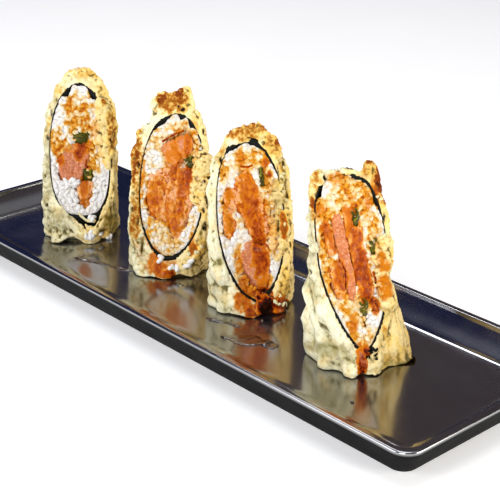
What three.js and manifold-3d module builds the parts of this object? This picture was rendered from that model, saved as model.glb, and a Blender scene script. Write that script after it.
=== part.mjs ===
// Spicy tuna tempura roll on its plate. Two sushi rolls were dipped in batter, fried whole and
// cut in half on a steep slant. The four halves stand on their battered ends in a row on a long
// dark plate. Millimetres, +Z up. The origin is on the table under the middle of the plate, and
// +X runs along the plate. Each half roll is built in its own frame: its axis is vertical, its
// slanted cut looks towards -Y, and its height is counted from the plate's floor.
import * as THREE from 'three';
import { mergeVertices } from 'three/addons/utils/BufferGeometryUtils.js';
import Module from 'manifold-3d';

const wasm = await Module();
wasm.setup();

// Driving dimensions of the plate
const plateLength = 360;
const plateWidth = 122;
const plateHeight = 17.2;
const plateFloor = 6;
const floorInsetSides = 18.2;
const floorInsetEnds = 16.3;
const footInset = 11;
const footWidth = 6;
const footDepth = 1.8;
const lipWidth = 2;
const lipRounding = 0.9;
const plateCornerRadius = 9;
const floorCornerRadius = 5;
const plateCornerSteps = 4;

// Driving dimensions of every half roll
const fitGap = 0.3;
const noriThickness = 0.6;
const batterUnderRoll = 2;
const lowestRim = 2.8;
const pointsAround = 44;
const batterRings = 10;
const batterReliefSize = 11;
const batterReliefDepth = 0.75;
const thinnestBatter = 0.9;
const batterSpreadPower = 2;
const foldsAround = 9;
const cragThickness = 5.5;
const cragLift = 1.5;
const cragOverCut = 1.3;
const cragMargin = 1.5;
const coreSink = 0.9;

// Rice, chopped tuna and scallion
const grainLength = 6.2;
const grainWidth = 2.9;
const grainThickness = 2.5;
const grainsPerFace = 20;
const grainMargin = 1.2;
const grainLift = 0.6;
const chunkSize = 4.6;
const chunkSpacing = 6;
const scallionWidth = 2.2;

// The four half rolls, from the far end of the plate to the near end. place is where the axis
// stands, facing the compass angle of the cut in degrees, low and high the nori's height at the
// front and back of the cut, lean its rise towards the right, frontPower and backPower how blunt
// the section is. batter rows are degrees round from the front, thickness at the rim and at
// the base. crags are lumps of batter on the cut's edge: place right of the axis and in front
// of it, length, width and turn. backGap is the air gap between rice and nori at the back,
// frontGap the one between nori and batter at the front.
const rolls = [
  {
    place: [-119.5, -2.0],
    facing: -39.5,
    halfWidth: 17.1,
    halfDepth: 17.2,
    low: 14.0,
    high: 83.5,
    lean: -0.1,
    frontPower: 2.8,
    backPower: 1.9,
    backGap: 0.6,
    frontGap: 2.0,
    foldDepth: 0.5,
    batter: [
      [0, 1.4, 1.6], [45, 2.2, 2.4], [90, 1.4, 2.4], [116, 5.2, 2.8], [140, 5.0, 3.0],
      [180, 3.5, 3.5], [225, 3.2, 3.8], [270, 3.6, 3.8], [315, 3.2, 3.8],
    ],
    crags: [[13.5, -9, 14, 8.5, 80], [15.5, -3, 12, 8, 95]],
    tuna: [[[-12, 4.5], [-9.5, 1], [-6, -1], [4.5, -0.5], [4.5, 2.8], [0.5, 7], [-3, 8.2], [-9, 7]]],
    mix: [[[-2, 8.8], [2, 7.8], [7.2, 8], [6, 10.5], [2, 12.5], [-1, 11]]],
    scallion: [[0.6, -3.4, 5.0, 4], [4.6, 5.9, 3.2, -8]],
  },
  {
    place: [-48.6, 6.6],
    facing: -47.2,
    halfWidth: 17.7,
    halfDepth: 17.9,
    low: 10.4,
    high: 80.8,
    lean: 0.037,
    frontPower: 2.1,
    backPower: 2.1,
    backGap: 3.4,
    frontGap: 1.0,
    foldDepth: 0.8,
    batter: [
      [0, 2.4, 2.4], [45, 3.2, 2.6], [90, 3.8, 3.0], [120, 2.6, 3.0], [148, 3.4, 3.2],
      [164, 6.4, 3.4], [184, 4.2, 3.4], [207, 6.6, 3.6], [220, 2.6, 3.8], [236, 4.8, 4.4],
      [270, 4.8, 6.0], [315, 4.4, 5.6],
    ],
    crags: [[-12, -20, 8, 5, 60], [15.8, -4, 13, 9, 85], [16.6, 3.5, 12, 9, 95]],
    tuna: [[
      [-6.5, -9], [0.5, -11.2], [7, -12.2], [10, -10.5], [9.6, -8], [4.6, -7.4], [2, -5], [-2, -5.4],
    ]],
    mix: [[
      [-13.2, 1.8], [-11.6, -2], [-4, -4.2], [1.2, -3.7], [9, -3.9], [11.6, -1], [11.4, 3.8],
      [9, 7.2], [5.2, 10.6], [1, 11], [-1.4, 8], [-6, 6.6], [-11.6, 5.8],
    ]],
    scallion: [[9.2, -5.7, 3.0, 6]],
  },
  {
    place: [13.8, 6.3],
    facing: -31.4,
    halfWidth: 17.4,
    halfDepth: 17.4,
    low: 6.9,
    high: 81.5,
    lean: -0.015,
    frontPower: 1.85,
    backPower: 2.3,
    backGap: 2.6,
    frontGap: 0.8,
    foldDepth: 1.0,
    batter: [
      [0, 2.4, 2.4], [45, 3.2, 3.2], [90, 3.6, 3.8], [135, 4.8, 3.4], [160, 3.4, 3.4],
      [180, 2.8, 3.4], [222, 1.8, 3.2], [250, 2.8, 3.4], [270, 3.4, 4.0], [315, 3.6, 4.6],
    ],
    crags: [[15.3, -6, 14, 8.5, 85], [16, 1.5, 14, 8.5, 95]],
    tuna: [[[-6.6, 7.2], [-3.4, 4.3], [2, 5], [7.4, 6.8], [7.6, 10.8], [5, 13.4], [0, 12.6], [-4.4, 10]]],
    mix: [
      [
        [-3.6, -10.2], [2, -9.4], [5, -6.2], [7.6, -2.2], [8.6, 2.4], [4.8, 3.8], [0, 2.8],
        [-3, 0], [-6.2, -3], [-12.6, -4.2], [-12, -6.4], [-7.4, -7.6],
      ],
      [[-13.6, -2.2], [-10, -2.6], [-7.2, -1], [-8, 1.6], [-11, 2.8], [-13.6, 1]],
    ],
    scallion: [[6.9, -9.2, 2.4, -70]],
  },
  {
    place: [91.1, -0.6],
    facing: -25.5,
    halfWidth: 17.5,
    halfDepth: 18,
    low: 10.2,
    high: 86.7,
    lean: -0.083,
    frontPower: 1.45,
    backPower: 3.1,
    backGap: 0.3,
    frontGap: 0.6,
    foldDepth: 1.5,
    batter: [
      [0, 2.8, 2.8], [30, 3.0, 4.6], [60, 2.6, 9.5], [90, 1.6, 12.0], [120, 1.8, 8.5],
      [148, 4.2, 5.0], [160, 1.0, 3.6], [198, 1.0, 3.2], [218, 2.8, 2.6], [240, 1.6, 1.8],
      [270, 2.0, 1.6], [315, 2.8, 3.6],
    ],
    crags: [
      [-13, -17, 9, 7, 0], [12, -19, 7, 5, 40], [15.6, 1.5, 14, 9, 85], [13.8, 6.8, 11, 8, 75],
      [-19.5, -9.5, 6, 5, 0], [-20, -3.5, 6, 5, 0],
    ],
    tuna: [[[-7.6, -9.6], [-4, -9.6], [-1.8, -2.6], [-0.6, 5.2], [-4.2, 5.6], [-5.6, 0], [-7.8, -5.4]]],
    mix: [
      [
        [-2.8, -10.6], [2, -10.6], [6, -7], [5.6, -2.4], [7.6, 1.2], [8.6, 5], [4.6, 6.6], [0.8, 5],
        [-0.8, -2.8],
      ],
      [[-12.4, -7.4], [-9.4, -6.6], [-8.2, -3], [-10.4, -2.2], [-12.6, -4.4]],
      [[-11.6, 0.4], [-8, -0.2], [-6.4, 1.8], [-6, 5.6], [-10.4, 4.8]],
    ],
    scallion: [[3.6, -8.7, 2.2, 20], [2.4, 9.2, 2.8, 30], [10.8, -2.7, 2.9, -20]],
  },
];

const colours = {
  plate: [0x23242b, 0.35],
  batter: [0xe6cf8e, 0.75],
  nori: [0x12160f, 0.6],
  rice: [0xe9e2d6, 0.5],
  tuna: [0xd87a5c, 0.35],
  mix: [0xc8541b, 0.3],
  scallion: [0x6f7a2c, 0.5],
};

const mergeTolerance = 0.04;
const part = new THREE.Group();

function seededRandom(seed) {
  let state = seed >>> 0;
  return () => {
    state = (state + 0x6d2b79f5) >>> 0;
    let t = Math.imul(state ^ (state >>> 15), state | 1);
    t ^= t + Math.imul(t ^ (t >>> 7), t | 61);
    return ((t ^ (t >>> 14)) >>> 0) / 4294967296;
  };
}

// A closed surface through rings that all have the same number of points, counter-clockwise
// from above and going up the outside first. The ends close on centre points, or on each other.
function loft(rings, start, end) {
  const count = rings[0].length;
  const positions = rings.flat(2);
  const indices = [];
  const pairs = start ? rings.length - 1 : rings.length;
  for (let ring = 0; ring < pairs; ring += 1) {
    const lower = ring * count;
    const upper = ((ring + 1) % rings.length) * count;
    for (let i = 0; i < count; i += 1) {
      const next = (i + 1) % count;
      indices.push(lower + i, lower + next, upper + next, lower + i, upper + next, upper + i);
    }
  }
  if (start) {
    positions.push(...start, ...end);
    const first = rings.length * count;
    const last = (rings.length - 1) * count;
    for (let i = 0; i < count; i += 1) {
      const next = (i + 1) % count;
      indices.push(first, next, i, first + 1, last + i, last + next);
    }
  }
  const geometry = new THREE.BufferGeometry();
  geometry.setAttribute('position', new THREE.Float32BufferAttribute(positions, 3));
  geometry.setIndex(indices);
  return geometry;
}

function solidFrom(positions, indices) {
  return new wasm.Manifold(new wasm.Mesh({ numProp: 3, vertProperties: positions, triVerts: indices }));
}

function toSolid(geometry) {
  const bare = geometry.clone();
  bare.deleteAttribute('normal');
  bare.deleteAttribute('uv');
  const merged = mergeVertices(bare, 1e-4);
  return solidFrom(
    new Float32Array(merged.attributes.position.array),
    new Uint32Array(merged.index.array),
  );
}

// Joins and cuts can leave loose scraps and slivers, so only the largest body is kept, and its
// flat faces are merged
function toGeometry(solid) {
  const bodies = solid.decompose().sort((a, b) => b.volume() - a.volume());
  const body = bodies[0].getMesh();
  const mesh = solidFrom(body.vertProperties, body.triVerts).simplify(mergeTolerance).getMesh();
  const geometry = new THREE.BufferGeometry();
  geometry.setAttribute('position', new THREE.BufferAttribute(mesh.vertProperties, 3));
  geometry.setIndex(new THREE.BufferAttribute(mesh.triVerts, 1));
  return geometry;
}

function addPiece(group, name, geometry, kind) {
  const [color, roughness] = colours[kind];
  const flat = geometry.index ? geometry.toNonIndexed() : geometry;
  flat.computeVertexNormals();
  const mesh = new THREE.Mesh(flat, new THREE.MeshStandardMaterial({ color, roughness, metalness: 0 }));
  mesh.name = name;
  group.add(mesh);
}

// The plate: a shallow tray with sloping walls, a rounded lip and a foot ring
function roundedRectangle(halfLength, halfWidth, radius, z) {
  const points = [];
  for (let corner = 0; corner < 4; corner += 1) {
    const signX = corner === 0 || corner === 3 ? 1 : -1;
    const signY = corner < 2 ? 1 : -1;
    for (let step = 0; step <= plateCornerSteps; step += 1) {
      const angle = (corner + step / plateCornerSteps) * Math.PI / 2;
      points.push([
        signX * (halfLength - radius) + radius * Math.cos(angle),
        signY * (halfWidth - radius) + radius * Math.sin(angle),
        z,
      ]);
    }
  }
  return points;
}

function plateRing(insetSides, insetEnds, z) {
  const share = insetSides / floorInsetSides;
  const radius = plateCornerRadius + (floorCornerRadius - plateCornerRadius) * Math.min(share, 1);
  return roundedRectangle(plateLength / 2 - insetEnds, plateWidth / 2 - insetSides, radius, z);
}

function makePlate() {
  const wallRise = plateHeight - plateFloor;
  const evenRing = (inset, z) => plateRing(inset, inset, z);
  const wallRing = (share, z) => plateRing(floorInsetSides * share, floorInsetEnds * share, z);
  const lipInner = lipWidth + 2 * lipRounding;
  const rings = [
    evenRing(footInset + footWidth + footDepth, footDepth),
    evenRing(footInset + footWidth, 0),
    evenRing(footInset, 0),
    evenRing(footInset - 2, 1.2),
    evenRing(lipRounding * 0.6, plateHeight - 2.4),
    evenRing(0, plateHeight - lipRounding),
    evenRing(lipRounding, plateHeight),
    evenRing(lipRounding + lipWidth, plateHeight),
    evenRing(lipInner, plateHeight - lipRounding),
    wallRing(0.8, plateFloor + wallRise * 0.19),
    wallRing(0.9, plateFloor + wallRise * 0.07),
    wallRing(1.08, plateFloor),
  ];
  addPiece(part, 'plate', loft(rings, [0, 0, footDepth], [0, 0, plateFloor]), 'plate');
}

// The roll's section: a superellipse, blunter or sharper at the front and at the back
function section(roll, angle, grow) {
  const cos = Math.cos(angle);
  const sin = Math.sin(angle);
  const power = 2 / (cos > 0 ? roll.frontPower : roll.backPower);
  return [
    (roll.halfWidth + grow) * Math.sign(sin) * Math.abs(sin) ** power,
    -(roll.halfDepth + grow) * Math.sign(cos) * Math.abs(cos) ** power,
  ];
}

function cutSlope(roll) {
  return (roll.high - roll.low) / (2 * roll.halfDepth);
}

function cutHeight(roll, x, y) {
  return (roll.low + roll.high) / 2 + cutSlope(roll) * y + roll.lean * x;
}

// How much longer a length is on the slanted cut than in plan
function slantStretch(roll) {
  return Math.hypot(1, cutSlope(roll));
}

function aroundAngles() {
  return Array.from({ length: pointsAround }, (_, i) => (i / pointsAround) * 2 * Math.PI);
}

// Batter thickness round the roll, eased between the rows of its table
function batterThickness(roll, angle, column) {
  const rows = roll.batter;
  const degrees = THREE.MathUtils.radToDeg(angle);
  let low = rows.length - 1;
  for (let i = 0; i < rows.length; i += 1) {
    if (rows[i][0] <= degrees) {
      low = i;
    }
  }
  const from = rows[low];
  const to = rows[(low + 1) % rows.length];
  const span = (to[0] - from[0] + 360) % 360;
  const share = (degrees - from[0]) / span;
  const eased = share * share * (3 - 2 * share);
  return from[column] + (to[column] - from[column]) * eased;
}

// Lumps of about one size: a few waves that cross each other in random directions
function makeRelief(random) {
  const waves = Array.from({ length: 7 }, () => {
    const direction = new THREE.Vector3(random() - 0.5, random() - 0.5, random() - 0.5).normalize();
    const length = batterReliefSize * (0.6 + 0.9 * random());
    return { vector: direction.multiplyScalar(2 * Math.PI / length), phase: random() * 2 * Math.PI };
  });
  return (x, y, z) => {
    const point = new THREE.Vector3(x, y, z);
    const sum = waves.reduce((total, wave) => total + Math.sin(wave.vector.dot(point) + wave.phase), 0);
    return batterReliefDepth * sum / Math.sqrt(waves.length / 2);
  };
}

// Where the batter's inner wall stands out from the nori
function batterClearance(roll, angle) {
  return fitGap + roll.frontGap * Math.max(Math.cos(angle), 0) ** 2;
}

function makeCrust(roll, random) {
  const relief = makeRelief(random);
  const foldPhase = random() * 2 * Math.PI;
  const angles = aroundAngles();
  const outerRing = (height) => angles.map((angle) => {
    const clearance = batterClearance(roll, angle);
    const [innerX, innerY] = section(roll, angle, clearance);
    const rim = batterThickness(roll, angle, 1);
    const base = batterThickness(roll, angle, 2);
    const spread = (1 - height) ** batterSpreadPower;
    const folds = roll.foldDepth * spread * Math.sin(foldsAround * angle + foldPhase + 2 * height);
    const plain = rim + (base - rim) * spread + folds;
    const [plainX, plainY] = section(roll, angle, clearance + plain);
    const rimZ = Math.max(cutHeight(roll, plainX, plainY), lowestRim);
    const z = fitGap + (rimZ - fitGap) * height;
    const thickness = Math.max(plain + relief(innerX, innerY, z), thinnestBatter);
    const [x, y] = section(roll, angle, clearance + thickness);
    return [x, y, z];
  });
  const innerRing = (top) => angles.map((angle) => {
    const [x, y] = section(roll, angle, batterClearance(roll, angle));
    return [x, y, top ? Math.max(cutHeight(roll, x, y), lowestRim + 1) : fitGap + batterUnderRoll];
  });
  const underside = outerRing(0).map(([x, y, z]) => [x * 0.94, y * 0.94, z]);
  const outer = Array.from({ length: batterRings }, (_, ring) => {
    const share = (ring + 0.5) / (batterRings - 0.5);
    return outerRing(share);
  });
  const rings = [underside, ...outer, innerRing(true), innerRing(false)];
  let solid = toSolid(loft(rings, [0, 0, fitGap], [0, 0, fitGap + batterUnderRoll]));
  roll.crags.forEach(([x, front, length, width, degrees]) => {
    const turn = THREE.MathUtils.degToRad(degrees);
    solid = solid.add(layOnCut(roll, x, -front, [length, width, cragThickness], turn, cragLift, 6));
  });
  const hollow = angles.map((angle) => new THREE.Vector3(...section(roll, angle, fitGap), 0));
  return toGeometry(solid.subtract(cutPrism(roll, hollow, cragOverCut)));
}

// Whether a spot on the cut stays clear of the batter's crags, measured along the slant
function clearOfCrags(roll, x, y) {
  return roll.crags.every(([cragX, front, length, width]) => (
    Math.hypot(cragX - x, slantStretch(roll) * (-front - y)) > (length + width) / 4 + cragMargin
  ));
}

const insideBase = 2 * fitGap + batterUnderRoll;

function makeNori(roll) {
  const ring = (grow, top) => aroundAngles().map((angle) => {
    const [x, y] = section(roll, angle, grow);
    return [x, y, top ? cutHeight(roll, x, y) : insideBase];
  });
  const rings = [
    ring(0, false), ring(0, true), ring(-noriThickness, true), ring(-noriThickness, false),
  ];
  return loft(rings);
}

// Outlines of the fillings: smooth closed curves through a few corners, with y turned from
// the distance in front of the axis
function smoothOutline(corners, pointsPerSpan = 2) {
  const points = corners.map(([x, front]) => new THREE.Vector3(x, -front, 0));
  const curve = new THREE.CatmullRomCurve3(points, true);
  return curve.getPoints(corners.length * pointsPerSpan).slice(0, -1);
}

function scallionOutline([x, front, halfLength, degrees]) {
  const turn = THREE.MathUtils.degToRad(degrees);
  const pointCount = 12;
  return Array.from({ length: pointCount }, (_, i) => {
    const angle = (i / pointCount) * 2 * Math.PI;
    const along = halfLength * Math.cos(angle);
    const across = scallionWidth / 2 * Math.sin(angle) + 0.06 * along * along / halfLength;
    return new THREE.Vector3(
      x + along * Math.cos(turn) - across * Math.sin(turn),
      -front + along * Math.sin(turn) + across * Math.cos(turn),
      0,
    );
  });
}

function grownOutline(outline, grow) {
  const turn = Math.sign(THREE.ShapeUtils.area(outline));
  return outline.map((point, i) => {
    const before = outline[(i + outline.length - 1) % outline.length];
    const after = outline[(i + 1) % outline.length];
    const along = new THREE.Vector3().subVectors(after, before).normalize();
    return new THREE.Vector3(point.x + turn * grow * along.y, point.y - turn * grow * along.x, 0);
  });
}

// A prism along the roll's axis, from the battered end up to the slanted cut
function cutPrism(roll, outline, raise) {
  const shape = new THREE.Shape(outline.map((point) => new THREE.Vector2(point.x, point.y)));
  const geometry = new THREE.ExtrudeGeometry(shape, { depth: 1, bevelEnabled: false, steps: 1 });
  const position = geometry.attributes.position;
  for (let i = 0; i < position.count; i += 1) {
    const top = cutHeight(roll, position.getX(i), position.getY(i)) + raise;
    position.setZ(i, position.getZ(i) > 0.5 ? top : insideBase);
  }
  return toSolid(geometry);
}

function isInside(outline, x, y) {
  let inside = false;
  outline.forEach((from, i) => {
    const to = outline[(i + 1) % outline.length];
    if ((from.y > y) !== (to.y > y) && x < (to.x - from.x) * (y - from.y) / (to.y - from.y) + from.x) {
      inside = !inside;
    }
  });
  return inside;
}

// Lays an ellipsoid flat on the slanted cut, turned in the plane of the cut
function layOnCut(roll, x, y, size, turn, lift, segments) {
  const geometry = new THREE.SphereGeometry(0.5, segments, 4);
  geometry.rotateX(Math.PI / 2);
  geometry.scale(...size);
  geometry.rotateZ(turn);
  const normal = new THREE.Vector3(-roll.lean, -cutSlope(roll), 1).normalize();
  const upright = new THREE.Quaternion().setFromUnitVectors(new THREE.Vector3(0, 0, 1), normal);
  geometry.applyQuaternion(upright);
  const point = new THREE.Vector3(x, y, cutHeight(roll, x, y)).addScaledVector(normal, lift);
  geometry.translate(point.x, point.y, point.z);
  return toSolid(geometry);
}

// Spreads points evenly over a region: each is the candidate that lies farthest from the others.
// Distances count along the slant, which is longer than its plan.
function spreadPoints(roll, count, random, accepts) {
  const stretch = slantStretch(roll);
  const chosen = [];
  for (let attempt = 0; chosen.length < count && attempt < count * 4; attempt += 1) {
    let best = null;
    let bestDistance = -1;
    for (let i = 0; i < 24; i += 1) {
      const x = (2 * random() - 1) * roll.halfWidth;
      const y = (2 * random() - 1) * roll.halfDepth;
      if (accepts(x, y)) {
        const distance = Math.min(1e3, ...chosen.map((p) => Math.hypot(p[0] - x, stretch * (p[1] - y))));
        if (distance > bestDistance) {
          best = [x, y];
          bestDistance = distance;
        }
      }
    }
    if (best) {
      chosen.push(best);
    }
  }
  return chosen;
}

function makeMix(roll, outline, neighbours, random) {
  let solid = cutPrism(roll, outline, 0.3);
  const inner = grownOutline(outline, -1.4);
  const count = Math.round(Math.abs(THREE.ShapeUtils.area(outline)) / chunkSpacing ** 2);
  const accepts = (x, y) => isInside(inner, x, y) && clearOfCrags(roll, x, y);
  const places = spreadPoints(roll, count, random, accepts);
  places.forEach(([x, y]) => {
    const size = [chunkSize * (0.8 + 0.6 * random()), chunkSize * (0.7 + 0.3 * random()), 2.6];
    solid = solid.add(layOnCut(roll, x, y, size, random() * Math.PI, 0.3, 6));
  });
  solid = solid.intersect(cutPrism(roll, outline, 5));
  neighbours.forEach((neighbour) => {
    solid = solid.subtract(cutPrism(roll, grownOutline(neighbour, fitGap), 6));
  });
  return toGeometry(solid);
}

function riceOutline(roll, shrink) {
  return aroundAngles().map((angle) => {
    const backShare = Math.max(-Math.cos(angle), 0) ** 3;
    const [x, y] = section(roll, angle, -noriThickness - fitGap - shrink - roll.backGap * backShare);
    return new THREE.Vector3(x, y, 0);
  });
}

function makeRice(roll, fillings, random) {
  let solid = cutPrism(roll, riceOutline(roll, 0), -coreSink);
  const grainArea = riceOutline(roll, grainMargin);
  const keepOut = fillings.map((outline) => grownOutline(outline, grainMargin));
  const accepts = (x, y) => isInside(grainArea, x, y) && clearOfCrags(roll, x, y)
    && !keepOut.some((outline) => isInside(outline, x, y));
  spreadPoints(roll, grainsPerFace, random, accepts).forEach(([x, y]) => {
    const size = [grainLength * (0.9 + 0.2 * random()), grainWidth, grainThickness];
    solid = solid.add(layOnCut(roll, x, y, size, random() * Math.PI, -coreSink + grainLift, 5));
  });
  solid = solid.intersect(cutPrism(roll, riceOutline(roll, 0), 5));
  fillings.forEach((outline) => {
    solid = solid.subtract(cutPrism(roll, grownOutline(outline, fitGap), 6));
  });
  return toGeometry(solid);
}

function nameFor(kind, number, index, count) {
  return count > 1 ? `${kind}_${number}_${index + 1}` : `${kind}_${number}`;
}

function makeHalfRoll(roll, number) {
  const random = seededRandom(number * 101);
  const group = new THREE.Group();
  group.position.set(roll.place[0], roll.place[1], plateFloor);
  group.rotation.z = THREE.MathUtils.degToRad(roll.facing + 90);
  addPiece(group, `batter_crust_${number}`, makeCrust(roll, random), 'batter');
  addPiece(group, `nori_${number}`, makeNori(roll), 'nori');
  const scallions = roll.scallion.map(scallionOutline);
  const tunas = roll.tuna.map((corners) => smoothOutline(corners));
  const mixes = roll.mix.map((corners) => smoothOutline(corners));
  scallions.forEach((outline, i) => {
    const geometry = toGeometry(cutPrism(roll, outline, 0.5));
    addPiece(group, nameFor('scallion', number, i, scallions.length), geometry, 'scallion');
  });
  tunas.forEach((outline, i) => {
    let solid = cutPrism(roll, outline, 0.4);
    scallions.forEach((other) => {
      solid = solid.subtract(cutPrism(roll, grownOutline(other, fitGap), 6));
    });
    addPiece(group, nameFor('tuna', number, i, tunas.length), toGeometry(solid), 'tuna');
  });
  mixes.forEach((outline, i) => {
    const geometry = makeMix(roll, outline, [...scallions, ...tunas], random);
    addPiece(group, nameFor('spicy_tuna', number, i, mixes.length), geometry, 'mix');
  });
  const rice = makeRice(roll, [...scallions, ...tunas, ...mixes], random);
  addPiece(group, `rice_${number}`, rice, 'rice');
  part.add(group);
}

makePlate();
rolls.forEach((roll, index) => makeHalfRoll(roll, index + 1));

export default part;
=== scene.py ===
"""Finish of the spicy tuna tempura roll on its plate: four half rolls stand on a long dark plate.

Every half roll has its own frame in millimetres, as its solids have: x runs to the right of its
slanted cut, y away from the viewer, z up from the plate's floor. A place on the cut is given by x
and front, the distance in front of the roll's axis. Blender's own values are in metres.
"""

import itertools
import math

import bmesh
import bpy
import numpy as np
from bpy.props import FloatProperty, FloatVectorProperty, PointerProperty
from mathutils import Matrix, Vector
from mathutils.bvhtree import BVHTree


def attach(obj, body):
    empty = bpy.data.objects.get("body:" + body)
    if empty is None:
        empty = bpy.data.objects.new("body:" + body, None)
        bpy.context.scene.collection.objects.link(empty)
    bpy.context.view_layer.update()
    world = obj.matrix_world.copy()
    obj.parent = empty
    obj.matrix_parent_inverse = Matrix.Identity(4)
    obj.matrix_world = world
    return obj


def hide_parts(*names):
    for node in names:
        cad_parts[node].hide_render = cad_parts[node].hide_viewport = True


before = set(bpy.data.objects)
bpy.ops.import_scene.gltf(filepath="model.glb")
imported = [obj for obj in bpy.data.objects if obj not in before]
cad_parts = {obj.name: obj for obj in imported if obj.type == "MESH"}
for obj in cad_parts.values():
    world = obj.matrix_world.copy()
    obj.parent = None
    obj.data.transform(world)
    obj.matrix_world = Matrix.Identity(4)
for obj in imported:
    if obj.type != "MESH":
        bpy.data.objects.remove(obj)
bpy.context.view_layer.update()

bl_info = {
    "name": "Spicy Tuna Tempura Roll",
    "version": (1, 0, 0),
    "blender": (4, 5, 0),
    "location": "View3D > Sidebar > Tempura Roll",
    "description": "Makes the batter, nori, rice, fish, scallion, sauce and plate of a tempura roll",
    "category": "Object",
}

MM = 0.001
UP = np.array([0, 0, 1.0])

# The plate, in millimetres: the height of its floor over the table, its lip, and how far in from
# the lip's edge its floor starts at the sides and at the ends
PLATE_FLOOR = 6.0
LIP_WIDTH = 2.0
LIP_ROUNDING = 0.9
FLOOR_INSET_SIDES = 18.2
FLOOR_INSET_ENDS = 16.3

# The half rolls, in millimetres: the air under the batter and under what is inside it, the nori,
# the batter's crumbs, and how much longer than wide its folds are
FIT_GAP = 0.3
INSIDE_BASE = 2.6
NORI_THICKNESS = 0.6
CRUMB_SIZE = 2.1
FOLD_STRETCH = np.array([0.7, 0.7, 1.15])

# The sauce, in millimetres: rows of sauce under FILM_LIMIT only colour what they lie on, and
# thicker ones are a film. A seam is a thin line of dark sauce, a painted shadow line between the
# fillings. RAY_START is how far over the cut the rays start that look for what the film lies on.
FILM_LIMIT = 1.15
SHADOW_SEAM_HALF_WIDTH = 0.8
SHADOW_SEAM_DEPTH = 1.9
RAY_START = 12.0

# Fixed seeds of the spots. The sauce and what it has stained share one, so that their edges match.
BROWNED_SEED = 11
SAUCE_SEED = 12
PIT_SEED = 13
SHADE_SEED = 14
HIDDEN_SEED = 15

# Fixed seeds of the relief, to which the half roll's number is added
FOLD_SEED = 20
CRUMB_SEED = 40
UNEVEN_SEED = 60
FINE_SEED = 80
WANDER_SEEDS = (90, 91, 92)

# The noise that makes a ball of size 1 uneven: the size of its lumps, and where it is read
BLOB_LUMPS = 0.45
BLOB_OFFSET = 7.7

# The camera: degrees that it looks round from x, down, and leans, and its place in metres
VIEW_HEADING = 137.51
VIEW_PITCH = 23.37
VIEW_TILT = 0.35
VIEW_PLACE = (0.47788, -0.41938, 0.306)

# The middle of the food, which the lamps shine on, and the colours of the room's light at the
# left, at the right and overhead
LIT_PLACE = (0.0, 0.0, 0.045)
BLUISH_SIDE = (0.02, 0.03, 0.11)
DIM_SIDE = (0.13, 0.105, 0.11)
OVERHEAD = (0.9, 0.95, 1.0)

# What a half roll has unless its own values say otherwise
PLAIN_ROLL = {"fold_size": 9.5, "fold_depth": 0, "folds": (), "strands": (), "hidden": ()}
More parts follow.
